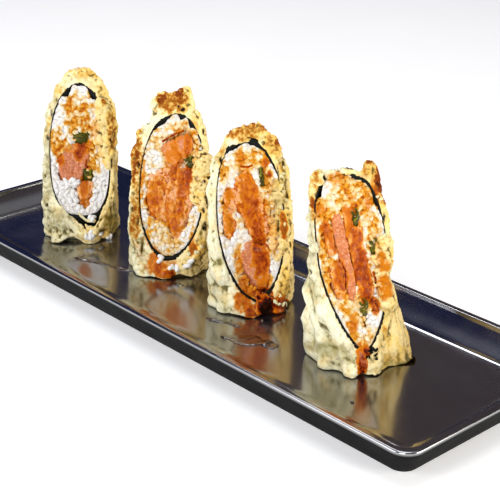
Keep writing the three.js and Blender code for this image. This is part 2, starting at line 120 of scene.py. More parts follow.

# One dict for each half roll, from the far end of the plate to the near end:
# place, facing: where it stands on the plate, and the way that its cut faces, in degrees
# half_width, half_depth: of the nori round the rice
# low, high, lean: height of the nori at the front and back of the cut, and its rise to the right
# front_power, back_power: how blunt the section is
# front_gap, back_gap: air between nori and batter in front, and between rice and nori behind
# knob_size, knob_depth: the batter's lumps
# crumble, mound_crumble, crumb_sizes: how crumbly the batter and its mounds are
# tinge: how much the rice is tinged all over
# fold_size, fold_depth: the smooth folds of the batter, where folds says
# voids, front_voids: hollows beside the nori at the back and the front: x, half width, depth
# strands, seams: lines of x and front that batter follows, and that thin dark sauce follows as a painted
# shadow line
# crumbs: kind, x, front, half the spread in x and in front, and how many
# The other rows are x, front, half the width, half the length, and height, depth or strength:
# hidden where the nori's edge sinks, bulges of the batter, folds, mounds of batter over the cut's
# edge, browned spots, shades, which are olive painted shade, pits, which are holes sunk into the
# batter with painted shadow in them, stains of thin sauce soaked into what it lies on, and sauce,
# whose deepest rows are nearly black, partly dark sauce and partly painted shade.
ROLLS = (
    dict(
        number=1, place=(-119.5, -2), facing=-39.5, half_width=17.1, half_depth=17.2,
        low=14, high=83.5, lean=-0.1, front_power=2.8, back_power=1.9, front_gap=2, back_gap=0.6,
        knob_size=5.2, knob_depth=1.7, crumble=0.35, mound_crumble=0.1, crumb_sizes=(3.2, 5.6),
        tinge=0.04,
        voids=[(-6.8, 2.2, 2.4), (0, 3.4, 0.8), (7.4, 2.4, 2)],
        front_voids=[(5.5, 6.5, 3.8)],
        hidden=[(-17, 6, 3, 9, 1)],
        bulges=[(13, -15, 4, 3, -1.4), (19, -2, 3, 4, -0.6)],
        mounds=[
            (13.4, -11.6, 3.2, 1.6, 1.2), (13.8, -9, 4.6, 1.8, 2), (14.4, -6, 5.2, 1.9, 2.4),
            (14.8, -3, 5, 1.9, 2.4), (15.4, 0, 4, 1.7, 1.8), (16.2, 2.4, 2.6, 1.4, 1.2),
        ],
        strands=[
            [(14.5, 14.8), (12, 17.4), (8, 18.6), (3.5, 18.4)], [(-0.5, 17.4), (3.5, 16.8), (7.5, 16.6)],
        ],
        crumbs=[
            ("rice", 8, 21.2, 9, 0.8, 12), ("rice", -5.5, 9, 4.5, 1.3, 16),
            ("rice", 4.5, 16.8, 3, 0.5, 4),
        ],
        browned=[
            (-12, -14, 4, 3, 0.35), (0, -20, 12, 2.5, 0.35), (13.6, -12, 1.8, 0.9, 1),
            (16.6, -7.5, 1.8, 3, 0.65), (17.2, -3.2, 1.3, 1.8, 0.75), (-7.5, -14, 1.6, 1.6, 0.6),
            (-17, -6, 1.4, 1.4, 0.4), (18, -5, 2.6, 6, 0.7), (16, 17.5, 3, 2.4, 0.3),
        ],
        shades=[
            (-15, -12, 3, 5, 0.35), (-18.6, -3, 1.8, 6, 0.5), (-19, 8, 4, 9, 0.6), (-14, 18, 8, 3, 0.5),
            (17, 17, 4, 4, 0.8), (-4.5, 17, 3, 1.6, 0.9),
        ],
        pits=[
            (17.6, -2.4, 0.8, 0.9, 1), (-15.4, -8.5, 0.7, 1, 0.9), (-17.6, -2.2, 0.7, 0.7, 1),
            (17.8, 3, 0.6, 1.2, 0.9), (19.4, -4.4, 0.6, 0.8, 0.8), (-12.6, -11.6, 0.6, 0.7, 0.9),
            (-19.6, 7.4, 0.9, 0.5, 0.8), (-19, 14.4, 1, 0.5, 0.7), (9.6, 15.4, 2, 0.8, 1),
        ],
        stains=[
            (-1, -7.8, 9, 6.2, 0.85), (-12, -1.4, 5, 4, 1.1), (3, 2, 9, 6, 0.9), (0.5, -8.5, 8, 4.6, 0.7),
            (-6.2, -11, 1.5, 3.6, 0.9), (5.6, -14.8, 1.6, 1.6, 0.9), (-11, -0.6, 6, 2.6, 0.7),
            (-10, 2.8, 4, 2, 0.8), (2.6, 9.2, 4, 3.4, 0.85), (8, -5, 3, 4, 0.6), (9.4, 1, 3, 4, 0.45),
        ],
        sauce=[
            (0.2, 0.2, 3.8, 2.6, 1.1), (-4.4, 0.2, 4.5, 1.4, 0.25), (-10.8, 3, 2.4, 1.5, 0.8),
            (4.6, -1.2, 2.4, 1.5, 0.3), (2.4, 9.4, 2.8, 2.8, 0.7), (-6.2, -10.4, 1.1, 2.6, 0.2),
            (7.2, -7, 1.6, 1.2, 0.15),
        ],
        seams=[[(3.5, 2.6), (3, 4), (4.2, 4.4)]],
    ),
    dict(
        number=2, place=(-48.6, 6.6), facing=-47.2, half_width=17.7, half_depth=17.9,
        low=10.4, high=80.8, lean=0.037, front_power=2.1, back_power=2.1, front_gap=1, back_gap=3.4,
        knob_size=4.4, knob_depth=1.5, crumble=0.7, mound_crumble=0.5, crumb_sizes=(1.4, 3.4),
        tinge=0.26,
        voids=[(-6.5, 4.4, 2), (3.4, 1.8, 1.8), (8.8, 1.8, 1.4)],
        front_voids=[(-2, 7, 0.8)],
        hidden=[(-17, 6, 3, 9, 0.9)],
        bulges=[
            (-15, -23, 2.5, 1.8, 2.4), (-14, -20, 2.5, 1.6, -1.8), (4, -24, 3.4, 2, 1.4),
            (11, -19, 3, 3, -1.2), (-19.5, -12, 2.5, 2.2, 1.2),
        ],
        mounds=[
            (15.6, -8.4, 2.8, 1.4, 1.3), (15.6, -5.6, 4.4, 1.8, 2.2), (15.6, -2.4, 5, 1.9, 2.6),
            (15.4, 0.8, 5.2, 1.9, 2.6), (15, 3.8, 4.8, 1.6, 2), (17.4, 6, 2.4, 1.4, 1.4),
        ],
        crumbs=[
            ("rice", -5, 18, 1.5, 0.6, 2), ("rice", 3, 20, 2, 0.7, 3), ("rice", 10, 19, 2.4, 0.8, 4),
            ("batter", 14, 17, 5, 2, 6),
        ],
        browned=[
            (-2, -20, 9, 3.5, 0.76), (-20, -6, 3.5, 9, 0.9), (-19, 8, 4, 7, 0.8),
            (-8, -20.8, 3, 1.3, 1.5), (1.5, -22.4, 2.4, 1.6, 1.5), (-18.5, -13, 1.8, 1.2, 0.7),
            (-21, -6.5, 1.8, 2.2, 0.7), (-19, 0, 1.2, 4, 0.5), (-18.5, 12, 2, 3, 0.35),
            (17, 15.5, 2.6, 2.6, 0.4), (13, 15.6, 2.2, 1.4, 0.8), (-3, -19.5, 3, 1, 0.35),
        ],
        shades=[(-19, 8, 4, 8, 0.6), (-14.5, 15, 2, 4, 0.8), (17, 12, 3, 3, 0.5), (12, 20, 4, 2, 0.4)],
        pits=[
            (14.6, -8.6, 1.1, 0.7, 1.2), (12.6, -9.8, 0.6, 0.5, 1), (19.4, 3.4, 1.1, 1.7, 1.2),
            (18.6, 10.2, 1.6, 1.4, 1.2), (17.6, 6.4, 0.8, 0.7, 1), (19.6, -1.6, 1, 0.4, 1),
            (-20.8, 6, 0.8, 0.6, 0.9), (-18.4, -4.6, 0.8, 0.9, 1.1), (-17.4, 8.6, 0.9, 1.2, 0.8),
            (-14.6, 15.4, 0.7, 1.8, 0.7), (15.4, -12.8, 0.5, 0.7, 0.9), (1.6, -18.9, 1.2, 0.4, 1.1),
            (4, -18.2, 1.4, 0.7, 1.2), (20, -12, 0.5, 1, 0.9),
        ],
        stains=[
            (2, -12.4, 9, 3.4, 0.45), (-11.6, 0, 4.6, 6, 0.42), (-6, 11, 9, 5.6, 0.4),
            (-17, 17, 3, 3, 0.35), (9.6, -9, 4, 6, 0.7), (4.4, -14.4, 3, 2.4, 0.45),
            (-12.6, -6, 3.2, 4.4, 0.3), (-10.6, 5, 4.6, 2.2, 0.9), (-2, 10.4, 5, 2.2, 0.55),
            (1.4, 13.6, 4, 2, 0.7), (-11, 11.4, 2.4, 4, 0.95), (-4, 19.6, 9, 3.2, 0.95),
            (12, 12.6, 1.6, 3, 0.8), (-16.5, -2, 1.4, 7, 0.95), (5.6, 9, 2.4, 2.4, 0.7),
        ],
        sauce=[
            (7.2, -9.4, 2.6, 3.4, 0.75), (0.4, -6.8, 6, 4.2, 0.42), (2.4, -5.4, 2.6, 3, 0.6),
            (0.6, -11.4, 3, 1.2, 0.25), (0.6, -3, 2.2, 2.6, 0.9), (8.6, -1.8, 2.6, 3.4, 1.1),
            (5.2, 0.6, 3, 4.6, 0.8), (1, 6, 3, 3, 0.25), (-9.4, 3.8, 4.8, 1.8, 0.85),
            (-10.4, 0.4, 2.4, 1.4, 0.4), (5.2, 6, 2, 3.4, 0.9), (2, 9.6, 3.4, 1.8, 0.8),
            (-2, 6.4, 1, 3, 0.6), (-8, 18, 3.6, 2.6, 0.6), (-5.4, 20.4, 5.4, 2, 0.9),
            (0, 21.6, 4, 1.2, 1.3), (12.6, 15.8, 2.4, 1.8, 1), (-15.4, -2, 1, 5, 0.3),
        ],
        seams=[[(-6, -10.4), (-1, -12), (4.4, -13.2)], [(2.6, -5.2), (1, -3.6), (-1.2, -2)]],
    ),
    dict(
        number=3, place=(13.8, 6.3), facing=-31.4, half_width=17.4, half_depth=17.4,
        low=6.9, high=81.5, lean=-0.015, front_power=1.85, back_power=2.3, front_gap=0.8, back_gap=2.6,
        knob_size=5.4, knob_depth=1.3, crumble=0.6, mound_crumble=0.4, crumb_sizes=(1.4, 3.2),
        tinge=0.14, fold_depth=2.6,
        voids=[(-5, 4, 1.5), (4.6, 4, 1.3), (12, 2.5, 0.6)],
        front_voids=[(2, 3, 0.8)],
        hidden=[(-17, -2, 3, 6, 0.8)],
        bulges=[(18, -16, 3.4, 2.2, 1.8), (10, -20, 4, 2, 1.2), (20, -4, 3, 4, -0.8)],
        folds=[(-19, 12, 9, 9, 1.3)],
        mounds=[
            (14, -7, 3.2, 1.6, 1.2), (13.8, -4, 4.6, 1.8, 1.9), (14, -0.8, 5.4, 1.9, 2.4),
            (14, 2.4, 5.2, 1.9, 2.4), (13, 5.4, 4.8, 1.7, 2), (12.6, 8, 3.2, 1.4, 1.4),
        ],
        crumbs=[("batter", 13, 17, 4, 1.5, 6), ("batter", 17, -6, 2, 8, 8)],
        browned=[
            (-1, -19, 11, 2.6, 0.7), (14, -16, 5, 3, 0.5), (-12, -14, 4, 4, 0.4), (9, -19.4, 3, 1.4, 0.8),
            (16.6, -16, 2, 1.4, 0.9), (-4, -19, 3.6, 1.2, 0.75), (-12, -15, 2.4, 1.6, 0.5),
            (15.6, 1.6, 1.8, 2.6, 0.9), (17.6, -10, 1.4, 2, 0.4), (14, 15, 3, 3, 0.35),
            (15, 18.6, 4, 1.4, 0.7),
        ],
        shades=[(-20, 15, 3, 2, 0.3), (18, -8, 2.5, 8, 0.4), (-14, -14, 3, 3, 0.3), (13, -3, 4, 6, 0.5)],
        pits=[
            (18.8, -11.4, 0.7, 0.8, 1.1), (17.4, -8.4, 0.6, 0.6, 0.9), (19.4, -4.6, 0.6, 0.9, 0.9),
            (-13, -13, 0.8, 0.8, 1), (12.8, 1.4, 0.5, 1.2, 0.7), (11.4, -0.6, 0.5, 0.6, 0.8),
            (19, 5.6, 0.6, 0.8, 0.8), (17.8, 18.4, 0.6, 0.9, 1), (9, -16.2, 1, 0.5, 0.9),
            (15.4, -9.4, 0.5, 2, 0.8),
        ],
        stains=[
            (1, -12.4, 8, 3.4, 0.7), (9, -9, 4, 5, 0.7), (7.6, 0, 3.4, 8, 0.75),
            (-11, -3.4, 4.6, 3.6, 0.85), (0, 13, 8, 3.6, 0.8), (-11.6, -10.6, 2.6, 3.4, 0.85),
            (-7.6, -13.2, 3, 2.6, 0.3), (-3, -13, 3.4, 1.8, 0.95), (9.4, -12.2, 2.6, 1.6, 1),
            (10.2, -9.4, 1.8, 1.2, 1), (-8, 9, 3.4, 4.6, 0.7), (-4.5, 0, 3.8, 2.4, 0.5),
            (-6, 17.4, 6, 3.6, 0.95), (12, 17.8, 5, 2.6, 0.8), (10.6, 2, 2.4, 7, 0.6),
            (15.8, 1.4, 1.8, 3, 1),
        ],
        sauce=[
            (-0.6, -6.8, 5.2, 3.8, 0.6), (1, -2.6, 4.2, 5, 0.9), (2.6, 1.4, 3.6, 3.6, 1),
            (3.6, 4.6, 4, 2, 1.1), (3, 8.2, 4.4, 4.6, 1.1), (4, 13.2, 3.6, 2, 0.35),
            (-10.6, -5.8, 4, 1.4, 0.5), (-12.2, -3.2, 2.6, 1.2, 0.35), (-11.6, 0.4, 2.8, 2.6, 0.35),
            (-8, 9, 2.4, 4, 0.3), (-6.4, 13, 2.6, 1.2, 0.7), (-6.6, 16.8, 4.6, 3.4, 0.7),
            (-4.6, 19, 3.4, 1.6, 1), (3.8, 18.2, 5.6, 3.4, 4), (15.6, 1.4, 2, 3, 1.12),
            (12, 18.6, 6, 2.2, 1.7), (-2.4, -13.2, 2.6, 1.6, 0.4), (9.6, -12, 2, 1, 1.1),
            (11, -9.6, 1.3, 0.9, 1.1), (0.4, 15.4, 4, 0.8, 0.9),
        ],
        seams=[[(-3, -11.4), (0, -11.2), (2.4, -11.5)], [(0, 3.5), (3, 4.2), (6, 5.2), (8, 6)]],
    ),
    dict(
        number=4, place=(91.1, -0.6), facing=-25.5, half_width=17.5, half_depth=18,
        low=10.2, high=86.7, lean=-0.083, front_power=1.45, back_power=3.1, front_gap=0.6, back_gap=0.3,
        knob_size=5, knob_depth=1, crumble=0.4, mound_crumble=0.1, crumb_sizes=(3, 5),
        tinge=0.32, fold_size=15, fold_depth=2,
        voids=[(-12.8, 1.8, 1.6), (7, 5, 1.1), (14.2, 1.6, 1.6)],
        front_voids=[(0.5, 3, 1)],
        bulges=[
            (19.5, -12, 3.4, 5, 2.6), (16.6, -16, 3, 2.6, 2.6), (19.5, -3, 3, 3, 0.6),
            (19, 3, 3, 2, -2.4), (23, 18, 5, 7, 8), (18.4, 3, 3, 2.2, -1.4), (-11, -18.5, 3, 1.6, 1.2),
            (8, -19.5, 3, 1.6, 1), (-21, -9, 2.6, 2.2, -2.2), (-21, -3.4, 2.6, 2.2, -2.6),
        ],
        folds=[(-17, 10, 10, 19, 1.3), (17, 13, 11, 11, 1.3), (0, 23, 12, 4, 1.3)],
        mounds=[
            (15.4, -3.4, 2.6, 1.4, 1.2), (13.6, -0.8, 3.8, 1.6, 1.7), (13.4, 2.2, 4.4, 1.8, 2.2),
            (13.2, 5.2, 4.4, 1.7, 2.2), (13.2, 8, 3.4, 1.4, 1.8),
        ],
        crumbs=[("nori", 3, 18, 2.4, 1.2, 12), ("batter", 17, -10, 2, 5, 4)],
        browned=[
            (12, -19.5, 5, 2.2, 0.6), (-14, -15, 4, 4, 0.45), (17, -15, 3.5, 4, 0.6),
            (-14, -16.8, 1.8, 1.2, 0.9), (-16.5, -12, 2, 1.4, 1), (12, -20, 3.4, 1.6, 0.95),
            (17.6, -15.2, 2.6, 3.6, 3.2), (-17.4, -9.6, 1.6, 1.4, 0.6), (11.6, 13.4, 1.4, 0.9, 0.6),
            (20, 20, 3, 0.8, 0.3),
        ],
        shades=[(-19, -4, 3, 10, 0.4), (-8, 17.5, 5, 2, 0.5), (-20, 16, 4, 1.2, 0.4)],
        pits=[
            (-4, -18.8, 5, 0.5, 1), (5, -18.8, 5, 0.5, 1), (-13.6, -13.2, 1.4, 1, 1.2),
            (-19.4, -10.4, 1.2, 0.4, 1.1), (-20.4, -7.6, 0.5, 0.8, 1.1), (-20.6, -4.2, 0.7, 0.8, 1.2),
            (-21, 1.4, 0.7, 0.8, 1), (17.4, -8.6, 0.6, 1, 1.1), (15.8, -15, 1.2, 0.9, 1),
            (-9.6, -16.6, 0.9, 0.6, 1), (9, -2.6, 1.2, 0.6, 0.9), (16.6, 2.6, 0.6, 0.6, 1),
            (8.6, 3.6, 0.8, 0.8, 0.9),
        ],
        stains=[
            (3, -14.4, 11, 3.4, 0.9), (-13, 1, 4, 7, 0.95), (10.5, -6, 4, 6, 0.75), (-6, 8.6, 4, 3, 0.7),
            (-3, -16.6, 6, 1.6, 0.8), (-13.4, -10, 4, 3, 0.95), (-12, -4.6, 4, 4, 0.9),
            (5, -11, 4, 2, 0.9), (-4.6, 12.2, 3.2, 3, 0.9), (12.8, 0.4, 3.2, 2.6, 1.5),
            (12.6, 4.8, 3.4, 2.8, 1.7), (13.6, -13, 2.6, 3.4, 1.2), (-1.6, 19.6, 3, 3.4, 0.95),
            (-8, -8, 3, 2.6, 0.6),
        ],
        sauce=[
            (1, -7.8, 4.2, 3.4, 0.6), (2, -3.6, 3.8, 4.6, 0.9), (3.2, 1.4, 3.8, 5.2, 1.14),
            (4.4, 4.6, 3.4, 3.6, 1.12), (7.2, 8.2, 2.2, 1.9, 1.1), (-11, -6.6, 3, 2.2, 0.75),
            (-9.4, -3.6, 2.2, 1.8, 0.85), (-7.4, 2.4, 3.6, 3.2, 0.85), (-4.2, 12, 2.8, 1.9, 0.4),
            (14.6, -13.6, 1.4, 1.8, 1), (11, -11.4, 2.6, 2.2, 0.3), (-14, -10.4, 3, 1.5, 0.35),
            (-3, -16.6, 6, 1.2, 0.2), (2, -13, 3, 1.4, 0.2), (-1.8, 19.2, 2.6, 3.4, 1.3),
            (-2, 21, 2, 1.4, 1.6), (0.6, 17.2, 2, 1.2, 2),
        ],
        seams=[[(8.2, 2), (9, 3.6)], [(8, 8.2), (9, 9.6)], [(-6, 0), (-5, 2), (-5.4, 4)]],
    ),
)


# Drops and smears on the plate's floor: x, y, half the length, half the width, turn, thickness
DROPS = (
    (-84, -27.0, 8.0, 2.2, 20, 0.7), (-74, -23.2, 7.0, 2.0, 16, 0.6), (-62, -19.6, 9.0, 1.8, 18, 0.6),
    (20, -22.4, 6.0, 1.8, 18, 0.6), (28, -19.6, 5.0, 1.5, 12, 0.6), (46, -25.6, 9.0, 6.0, 30, 0.7),
    (56, -21.0, 6.0, 4.0, 10, 0.7), (38, -30.0, 4.0, 2.4, 35, 0.6), (35.6, -5.8, 1.2, 1.0, 0, 0.7),
    (121.2, -30.9, 1.1, 0.9, 0, 0.7), (-25.8, -9.1, 4.0, 1.6, 20, 0.5),
)


def linear(code):
    """A colour written as its usual six digits, in the linear values that shaders take."""
    shares = [(code >> shift & 255) / 255 for shift in (16, 8, 0)]
    return tuple(c / 12.92 if c <= 0.04045 else ((c + 0.055) / 1.055) ** 2.4 for c in shares)


def oval_reach(x, y, half_x, half_y):
    """0 in the middle of an oval, 1 on its edge, and more outside it."""
    return (x / half_x) ** 2 + (y / half_y) ** 2


class HalfRoll:
    """The frame and section of one half roll, in millimetres."""

    def __init__(self, values):
        self.__dict__.update({**PLAIN_ROLL, **values})
        turn = math.radians(self.facing + 90)
        self.across = np.array([math.cos(turn), math.sin(turn), 0.0])
        self.away = np.array([-math.sin(turn), math.cos(turn), 0.0])
        self.origin = np.array([*self.place, PLATE_FLOOR])
        self.slope = (self.high - self.low) / (2 * self.half_depth)
        self.stretch = math.hypot(1, self.slope)
        normal = np.array([-self.lean, -self.slope, 1.0])
        self.normal = normal / np.linalg.norm(normal)

    def to_part(self, local):
        """Local millimetres to metres in the part's frame."""
        turned = local[..., :1] * self.across + local[..., 1:2] * self.away
        return (turned + local[..., 2:3] * UP + self.origin) * MM

    def to_local(self, points):
        """Metres in the part's frame to local millimetres."""
        moved = np.asarray(points, float) / MM - self.origin
        return np.stack([moved @ self.across, moved @ self.away, moved[..., 2]], -1)

    def direction(self, local):
        """A local direction in the part's frame."""
        return local[0] * self.across + local[1] * self.away + local[2] * UP

    def local_points(self, piece):
        """The vertices of a piece, in local millimetres."""
        return self.to_local(points_of(piece))

    def place_points(self, piece, local):
        """Moves the vertices of a piece to local millimetres."""
        set_points(piece, self.to_part(local))

    def cut_height(self, x, y):
        return (self.low + self.high) / 2 + self.slope * y + self.lean * x

    def on_cut(self, x, front, lift=0.0):
        """Local points above the cut, lift being measured square to it."""
        x, front = np.broadcast_arrays(np.asarray(x, float), np.asarray(front, float))
        flat = np.stack([x, -front, self.cut_height(x, -front)], -1)
        return flat + np.asarray(lift, float)[..., None] * self.normal

    def lift(self, local):
        """How far local points lie above the cut, square to it."""
        return (local[..., 2] - self.cut_height(local[..., 0], local[..., 1])) * self.normal[2]

    def near_cut(self, local, depth):
        """1 for local points at the cut or above it, down to 0 at a depth below it."""
        return np.clip(1 + self.lift(local) / depth, 0, 1)

    def face_place(self, local):
        """x, front and lift of local points, square to the cut."""
        lift = self.lift(local)
        foot = local - lift[..., None] * self.normal
        return foot[..., 0], -foot[..., 1], lift

    def section(self, angle, grow):
        """The roll's outline, grown outwards; the angle is 0 at the front and runs to the right."""
        cos, sin = np.cos(angle), np.sin(angle)
        power = 2 / np.where(cos > 0, self.front_power, self.back_power)
        x = (self.half_width + grow) * np.sign(sin) * np.abs(sin) ** power
        y = -(self.half_depth + grow) * np.sign(cos) * np.abs(cos) ** power
        return x, y

    def outside(self, local):
        """How far outside the nori local points lie, about 1 mm for each mm."""
        power = np.where(local[..., 1] < 0, self.front_power, self.back_power)
        x = np.abs(local[..., 0]) / self.half_width
        y = np.abs(local[..., 1]) / self.half_depth
        return ((x**power + y**power) ** (1 / power) - 1) * self.half_width

    def void(self, local, rows, side):
        """Depth of the air beside the nori at the back, side 1, or the front, side -1, of the cut."""
        total = sum(depth * np.exp(-(((local[:, 0] - x) / half_x) ** 2)) for x, half_x, depth in rows)
        return total * np.clip(3 * side * local[:, 1] / self.half_depth - 1, 0, 1)

    def bulge(self, local):
        """Local points pushed out along the cut, or drawn in, by the rows of the bulges."""
        x, front, _ = self.face_place(local)
        push = np.zeros(len(local))
        for row_x, row_front, half_x, half_front, depth in self.bulges:
            away = -(((x - row_x) / half_x) ** 2) - ((front - row_front) / half_front) ** 2
            push += depth * np.exp(away)
        push *= np.clip(self.outside(local), 0, 1)
        slant = -front * self.stretch
        reach = np.maximum(np.hypot(x, slant), 1)
        along = np.stack([x, slant / self.stretch, slant * self.slope / self.stretch], -1)
        return local + along * (push / reach)[:, None]

    def spots(self, local, rows, ragged=0.35, seed=0):
        """How strongly the spots of a table colour local points, with ragged edges."""
        x, front, _ = self.face_place(local)
        wander = soft_noise(local, 2.6, seed) + 0.5 * soft_noise(local, 1.1, seed + 1)
        total = np.zeros(len(local))
        for row_x, row_front, half_x, half_front, strength in rows:
            reach = oval_reach(x - row_x, front - row_front, half_x, half_front)
            total = np.maximum(total, strength * np.clip(1.25 - reach + ragged * wander, 0, 1))
        return total

    def sauce_on(self, local):
        """How strongly the sauce colours local points."""
        return self.spots(local, self.sauce, 0.6, SAUCE_SEED)


HALF_ROLLS = [HalfRoll(values) for values in ROLLS]


# Noise and relief

def cell_random(cells, seed):
    """A number from 0 to 1 for each cell of a lattice."""
    whole = cells.astype(np.int64)
    mixed = whole[..., 0] * 374761393 + whole[..., 1] * 668265263 + whole[..., 2] * 362437
    mixed = mixed + seed * 69069
    mixed = (mixed ^ (mixed >> 13)) & 0xFFFFFFFF
    mixed = (mixed * 1274126177) & 0xFFFFFFFF
    return ((mixed ^ (mixed >> 16)) & 0xFFFFFF) / 0xFFFFFF


def soft_noise(points, size, seed):
    """Smooth noise from -1 to 1 whose lumps are about size across."""
    scaled = points / size
    cell = np.floor(scaled)
    share = scaled - cell
    eased = share * share * (3 - 2 * share)
    total = np.zeros(len(points))
    for corner in itertools.product((0, 1), repeat=3):
        weight = np.prod(np.where(np.array(corner) == 1, eased, 1 - eased), axis=-1)
        total += weight * cell_random(cell + corner, seed)
    return 2 * total - 1


def lumps(points, size, seed):
    """Rounded lumps side by side: 1 on a crown, towards 0 between, and a chance for each lump."""
    scaled = points / size
    cell = np.floor(scaled)
    nearest = np.full(len(points), 9.0)
    chance = np.zeros(len(points))
    for shift in itertools.product((-1, 0, 1), repeat=3):
        near = cell + shift
        centre = near + np.stack([cell_random(near, seed + axis) for axis in range(3)], -1)
        away = ((scaled - centre) ** 2).sum(-1)
        closer = away < nearest
        nearest = np.where(closer, away, nearest)
        chance = np.where(closer, cell_random(near, seed + 3), chance)
    return 1 - np.minimum(nearest, 1), chance


# Meshes

def placed(name, data):
    """A new object at the origin, linked to the scene."""
    thing = bpy.data.objects.new(name, data)
    bpy.context.scene.collection.objects.link(thing)
    return thing


def shade_smooth(mesh):
    mesh.polygons.foreach_set("use_smooth", [True] * len(mesh.polygons))


def coat(piece, material):
    """Gives a piece its one material."""
    piece.data.materials.clear()
    piece.data.materials.append(material)


def new_piece(name, vertices, faces, smooth=True):
    """A mesh object whose place is in its mesh, in metres."""
    mesh = bpy.data.meshes.new(name)
    mesh.from_pydata(vertices, [], faces)
    mesh.update()
    if smooth:
        shade_smooth(mesh)
    return placed(name, mesh)


def points_of(piece, kind="co"):
    """The vertices of a piece as an array, in metres, or their normals."""
    flat = np.zeros(len(piece.data.vertices) * 3)
    piece.data.vertices.foreach_get(kind, flat)
    return flat.reshape(-1, 3)


def normals_of(piece):
    return points_of(piece, "normal")


def set_points(piece, points):
    """Moves the vertices of a piece, in metres."""
    piece.data.vertices.foreach_set("co", np.ascontiguousarray(points, np.float32).ravel())
    piece.data.update()


def set_values(piece, name, values):
    """Stores a number for each vertex, for the materials to read."""
    attribute = piece.data.attributes.get(name) or piece.data.attributes.new(name, "FLOAT", "POINT")
    attribute.data.foreach_set("value", np.ascontiguousarray(values, np.float32))


def values_of(piece, name):
    """Reads back a number stored for each vertex."""
    values = np.zeros(len(piece.data.vertices))
    piece.data.attributes[name].data.foreach_get("value", values)
    return values


def move_along_normals(piece, distance):
    """Moves each vertex out by its own distance in millimetres."""
    set_points(piece, points_of(piece) + normals_of(piece) * distance[:, None] * MM)


def hollows(piece, rounds):
    """How deep each vertex lies in a crease of its surface, in millimetres; below 0 on a crown."""
    ends = np.zeros(len(piece.data.edges) * 2, int)
    piece.data.edges.foreach_get("vertices", ends)
    start, end = ends.reshape(-1, 2).T
    here, there = np.concatenate([start, end]), np.concatenate([end, start])
    points = points_of(piece)
    count = np.maximum(np.bincount(here, minlength=len(points)), 1)
    eased = points
    for _ in range(rounds):
        sums = [np.bincount(here, eased[there, axis], len(points)) for axis in range(3)]
        eased = np.stack(sums, -1) / count[:, None]
    return ((eased - points) * normals_of(piece)).sum(-1) / MM


def remove_piece(piece):
    mesh = piece.data
    bpy.data.objects.remove(piece)
    bpy.data.meshes.remove(mesh)


def bake_modifiers(piece):
    """Makes a piece and its modifiers one plain mesh."""
    graph = bpy.context.evaluated_depsgraph_get()
    mesh = bpy.data.meshes.new_from_object(piece.evaluated_get(graph))
    old = piece.data
    piece.modifiers.clear()
    piece.data = mesh
    bpy.data.meshes.remove(old)
    return piece


def merged_copy(node, name):
    """A copy of a solid of the frame with its loose triangles joined up."""
    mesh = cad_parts[node].data.copy()
    mesh.name = name
    mesh.materials.clear()
    shape = bmesh.new()
    shape.from_mesh(mesh)
    bmesh.ops.remove_doubles(shape, verts=shape.verts, dist=0.002 * MM)
    shape.to_mesh(mesh)
    shape.free()
    return placed(name, mesh)


def join_pieces(pieces, name):
    """Joins pieces into the first one."""
    first = pieces[0]
    if len(pieces) > 1:
        with bpy.context.temp_override(
            active_object=first, object=first, selected_objects=pieces, selected_editable_objects=pieces,
        ):
            bpy.ops.object.join()
    first.name = name
    first.data.name = name
    return first


def remesh(piece, voxel, smoothing):
    """Fuses what a piece is made of into one even skin, and rounds it off."""
    fused = piece.modifiers.new("Fuse", "REMESH")
    fused.mode = "VOXEL"
    fused.voxel_size = voxel * MM
    fused.use_smooth_shade = True
    if smoothing:
        rounded = piece.modifiers.new("Round", "SMOOTH")
        rounded.factor = 0.5
        rounded.iterations = smoothing
    return bake_modifiers(piece)


def keep_faces(piece, name, wanted):
    """A new piece from the faces that are wanted, given by their index."""
    shape = bmesh.new()
    shape.from_mesh(piece.data)
    shape.faces.ensure_lookup_table()
    unwanted = [face for face, keep in zip(shape.faces, wanted) if not keep]
    bmesh.ops.delete(shape, geom=unwanted, context="FACES")
    mesh = bpy.data.meshes.new(name)
    shape.to_mesh(mesh)
    shape.free()
    return placed(name, mesh)


def face_values(piece, name):
    """The centre or the normal of each face, as an array."""
    flat = np.zeros(len(piece.data.polygons) * 3)
    piece.data.polygons.foreach_get(name, flat)
    return flat.reshape(-1, 3)


def ring_faces(rings, around, closed=False):
    """Faces between rings of points one after another; closed joins the last ring to the first."""
    faces = []
    for ring in range(rings if closed else rings - 1):
        low, high = ring * around, (ring + 1) % rings * around
        for i in range(around):
            after = (i + 1) % around
            faces.append((low + i, low + after, high + after, high + i))
    return faces


def blob(name, size, uneven, detail, seed):
    """An uneven lump, size across each way, about the origin."""
    shape = bmesh.new()
    bmesh.ops.create_icosphere(shape, subdivisions=detail, radius=0.5)
    mesh = bpy.data.meshes.new(name)
    shape.to_mesh(mesh)
    shape.free()
    piece = placed(name, mesh)
    points = points_of(piece)
    points *= 1 + uneven * soft_noise(points + BLOB_OFFSET, BLOB_LUMPS, seed)[:, None]
    set_points(piece, points * np.array(size) * MM)
    shade_smooth(mesh)
    return piece


def grain(length, width):
    """A grain of cooked rice along x, slightly bent and flattened."""
    around, rings = 8, 6
    vertices = [(-length / 2, 0, 0)]
    for ring in range(1, rings):
        along = -math.cos(math.pi * ring / rings)
        radius = width / 2 * (1 - along**4) ** 0.5
        bend = 0.05 * length * (1 - along**2)
        for i in range(around):
            angle = 2 * math.pi * i / around
            vertices.append((
                length / 2 * along, radius * math.cos(angle) + bend, 0.88 * radius * math.sin(angle),
            ))
    vertices.append((length / 2, 0, 0))
    faces = []
    for i in range(around):
        after = (i + 1) % around
        faces.append((0, 1 + after, 1 + i))
        for ring in range(rings - 2):
            low, high = 1 + ring * around, 1 + (ring + 1) * around
            faces.append((low + i, low + after, high + after, high + i))
        last = 1 + (rings - 2) * around
        faces.append((last + i, last + after, len(vertices) - 1))
    return new_piece("grain", [[c * MM for c in v] for v in vertices], faces)


# Nodes

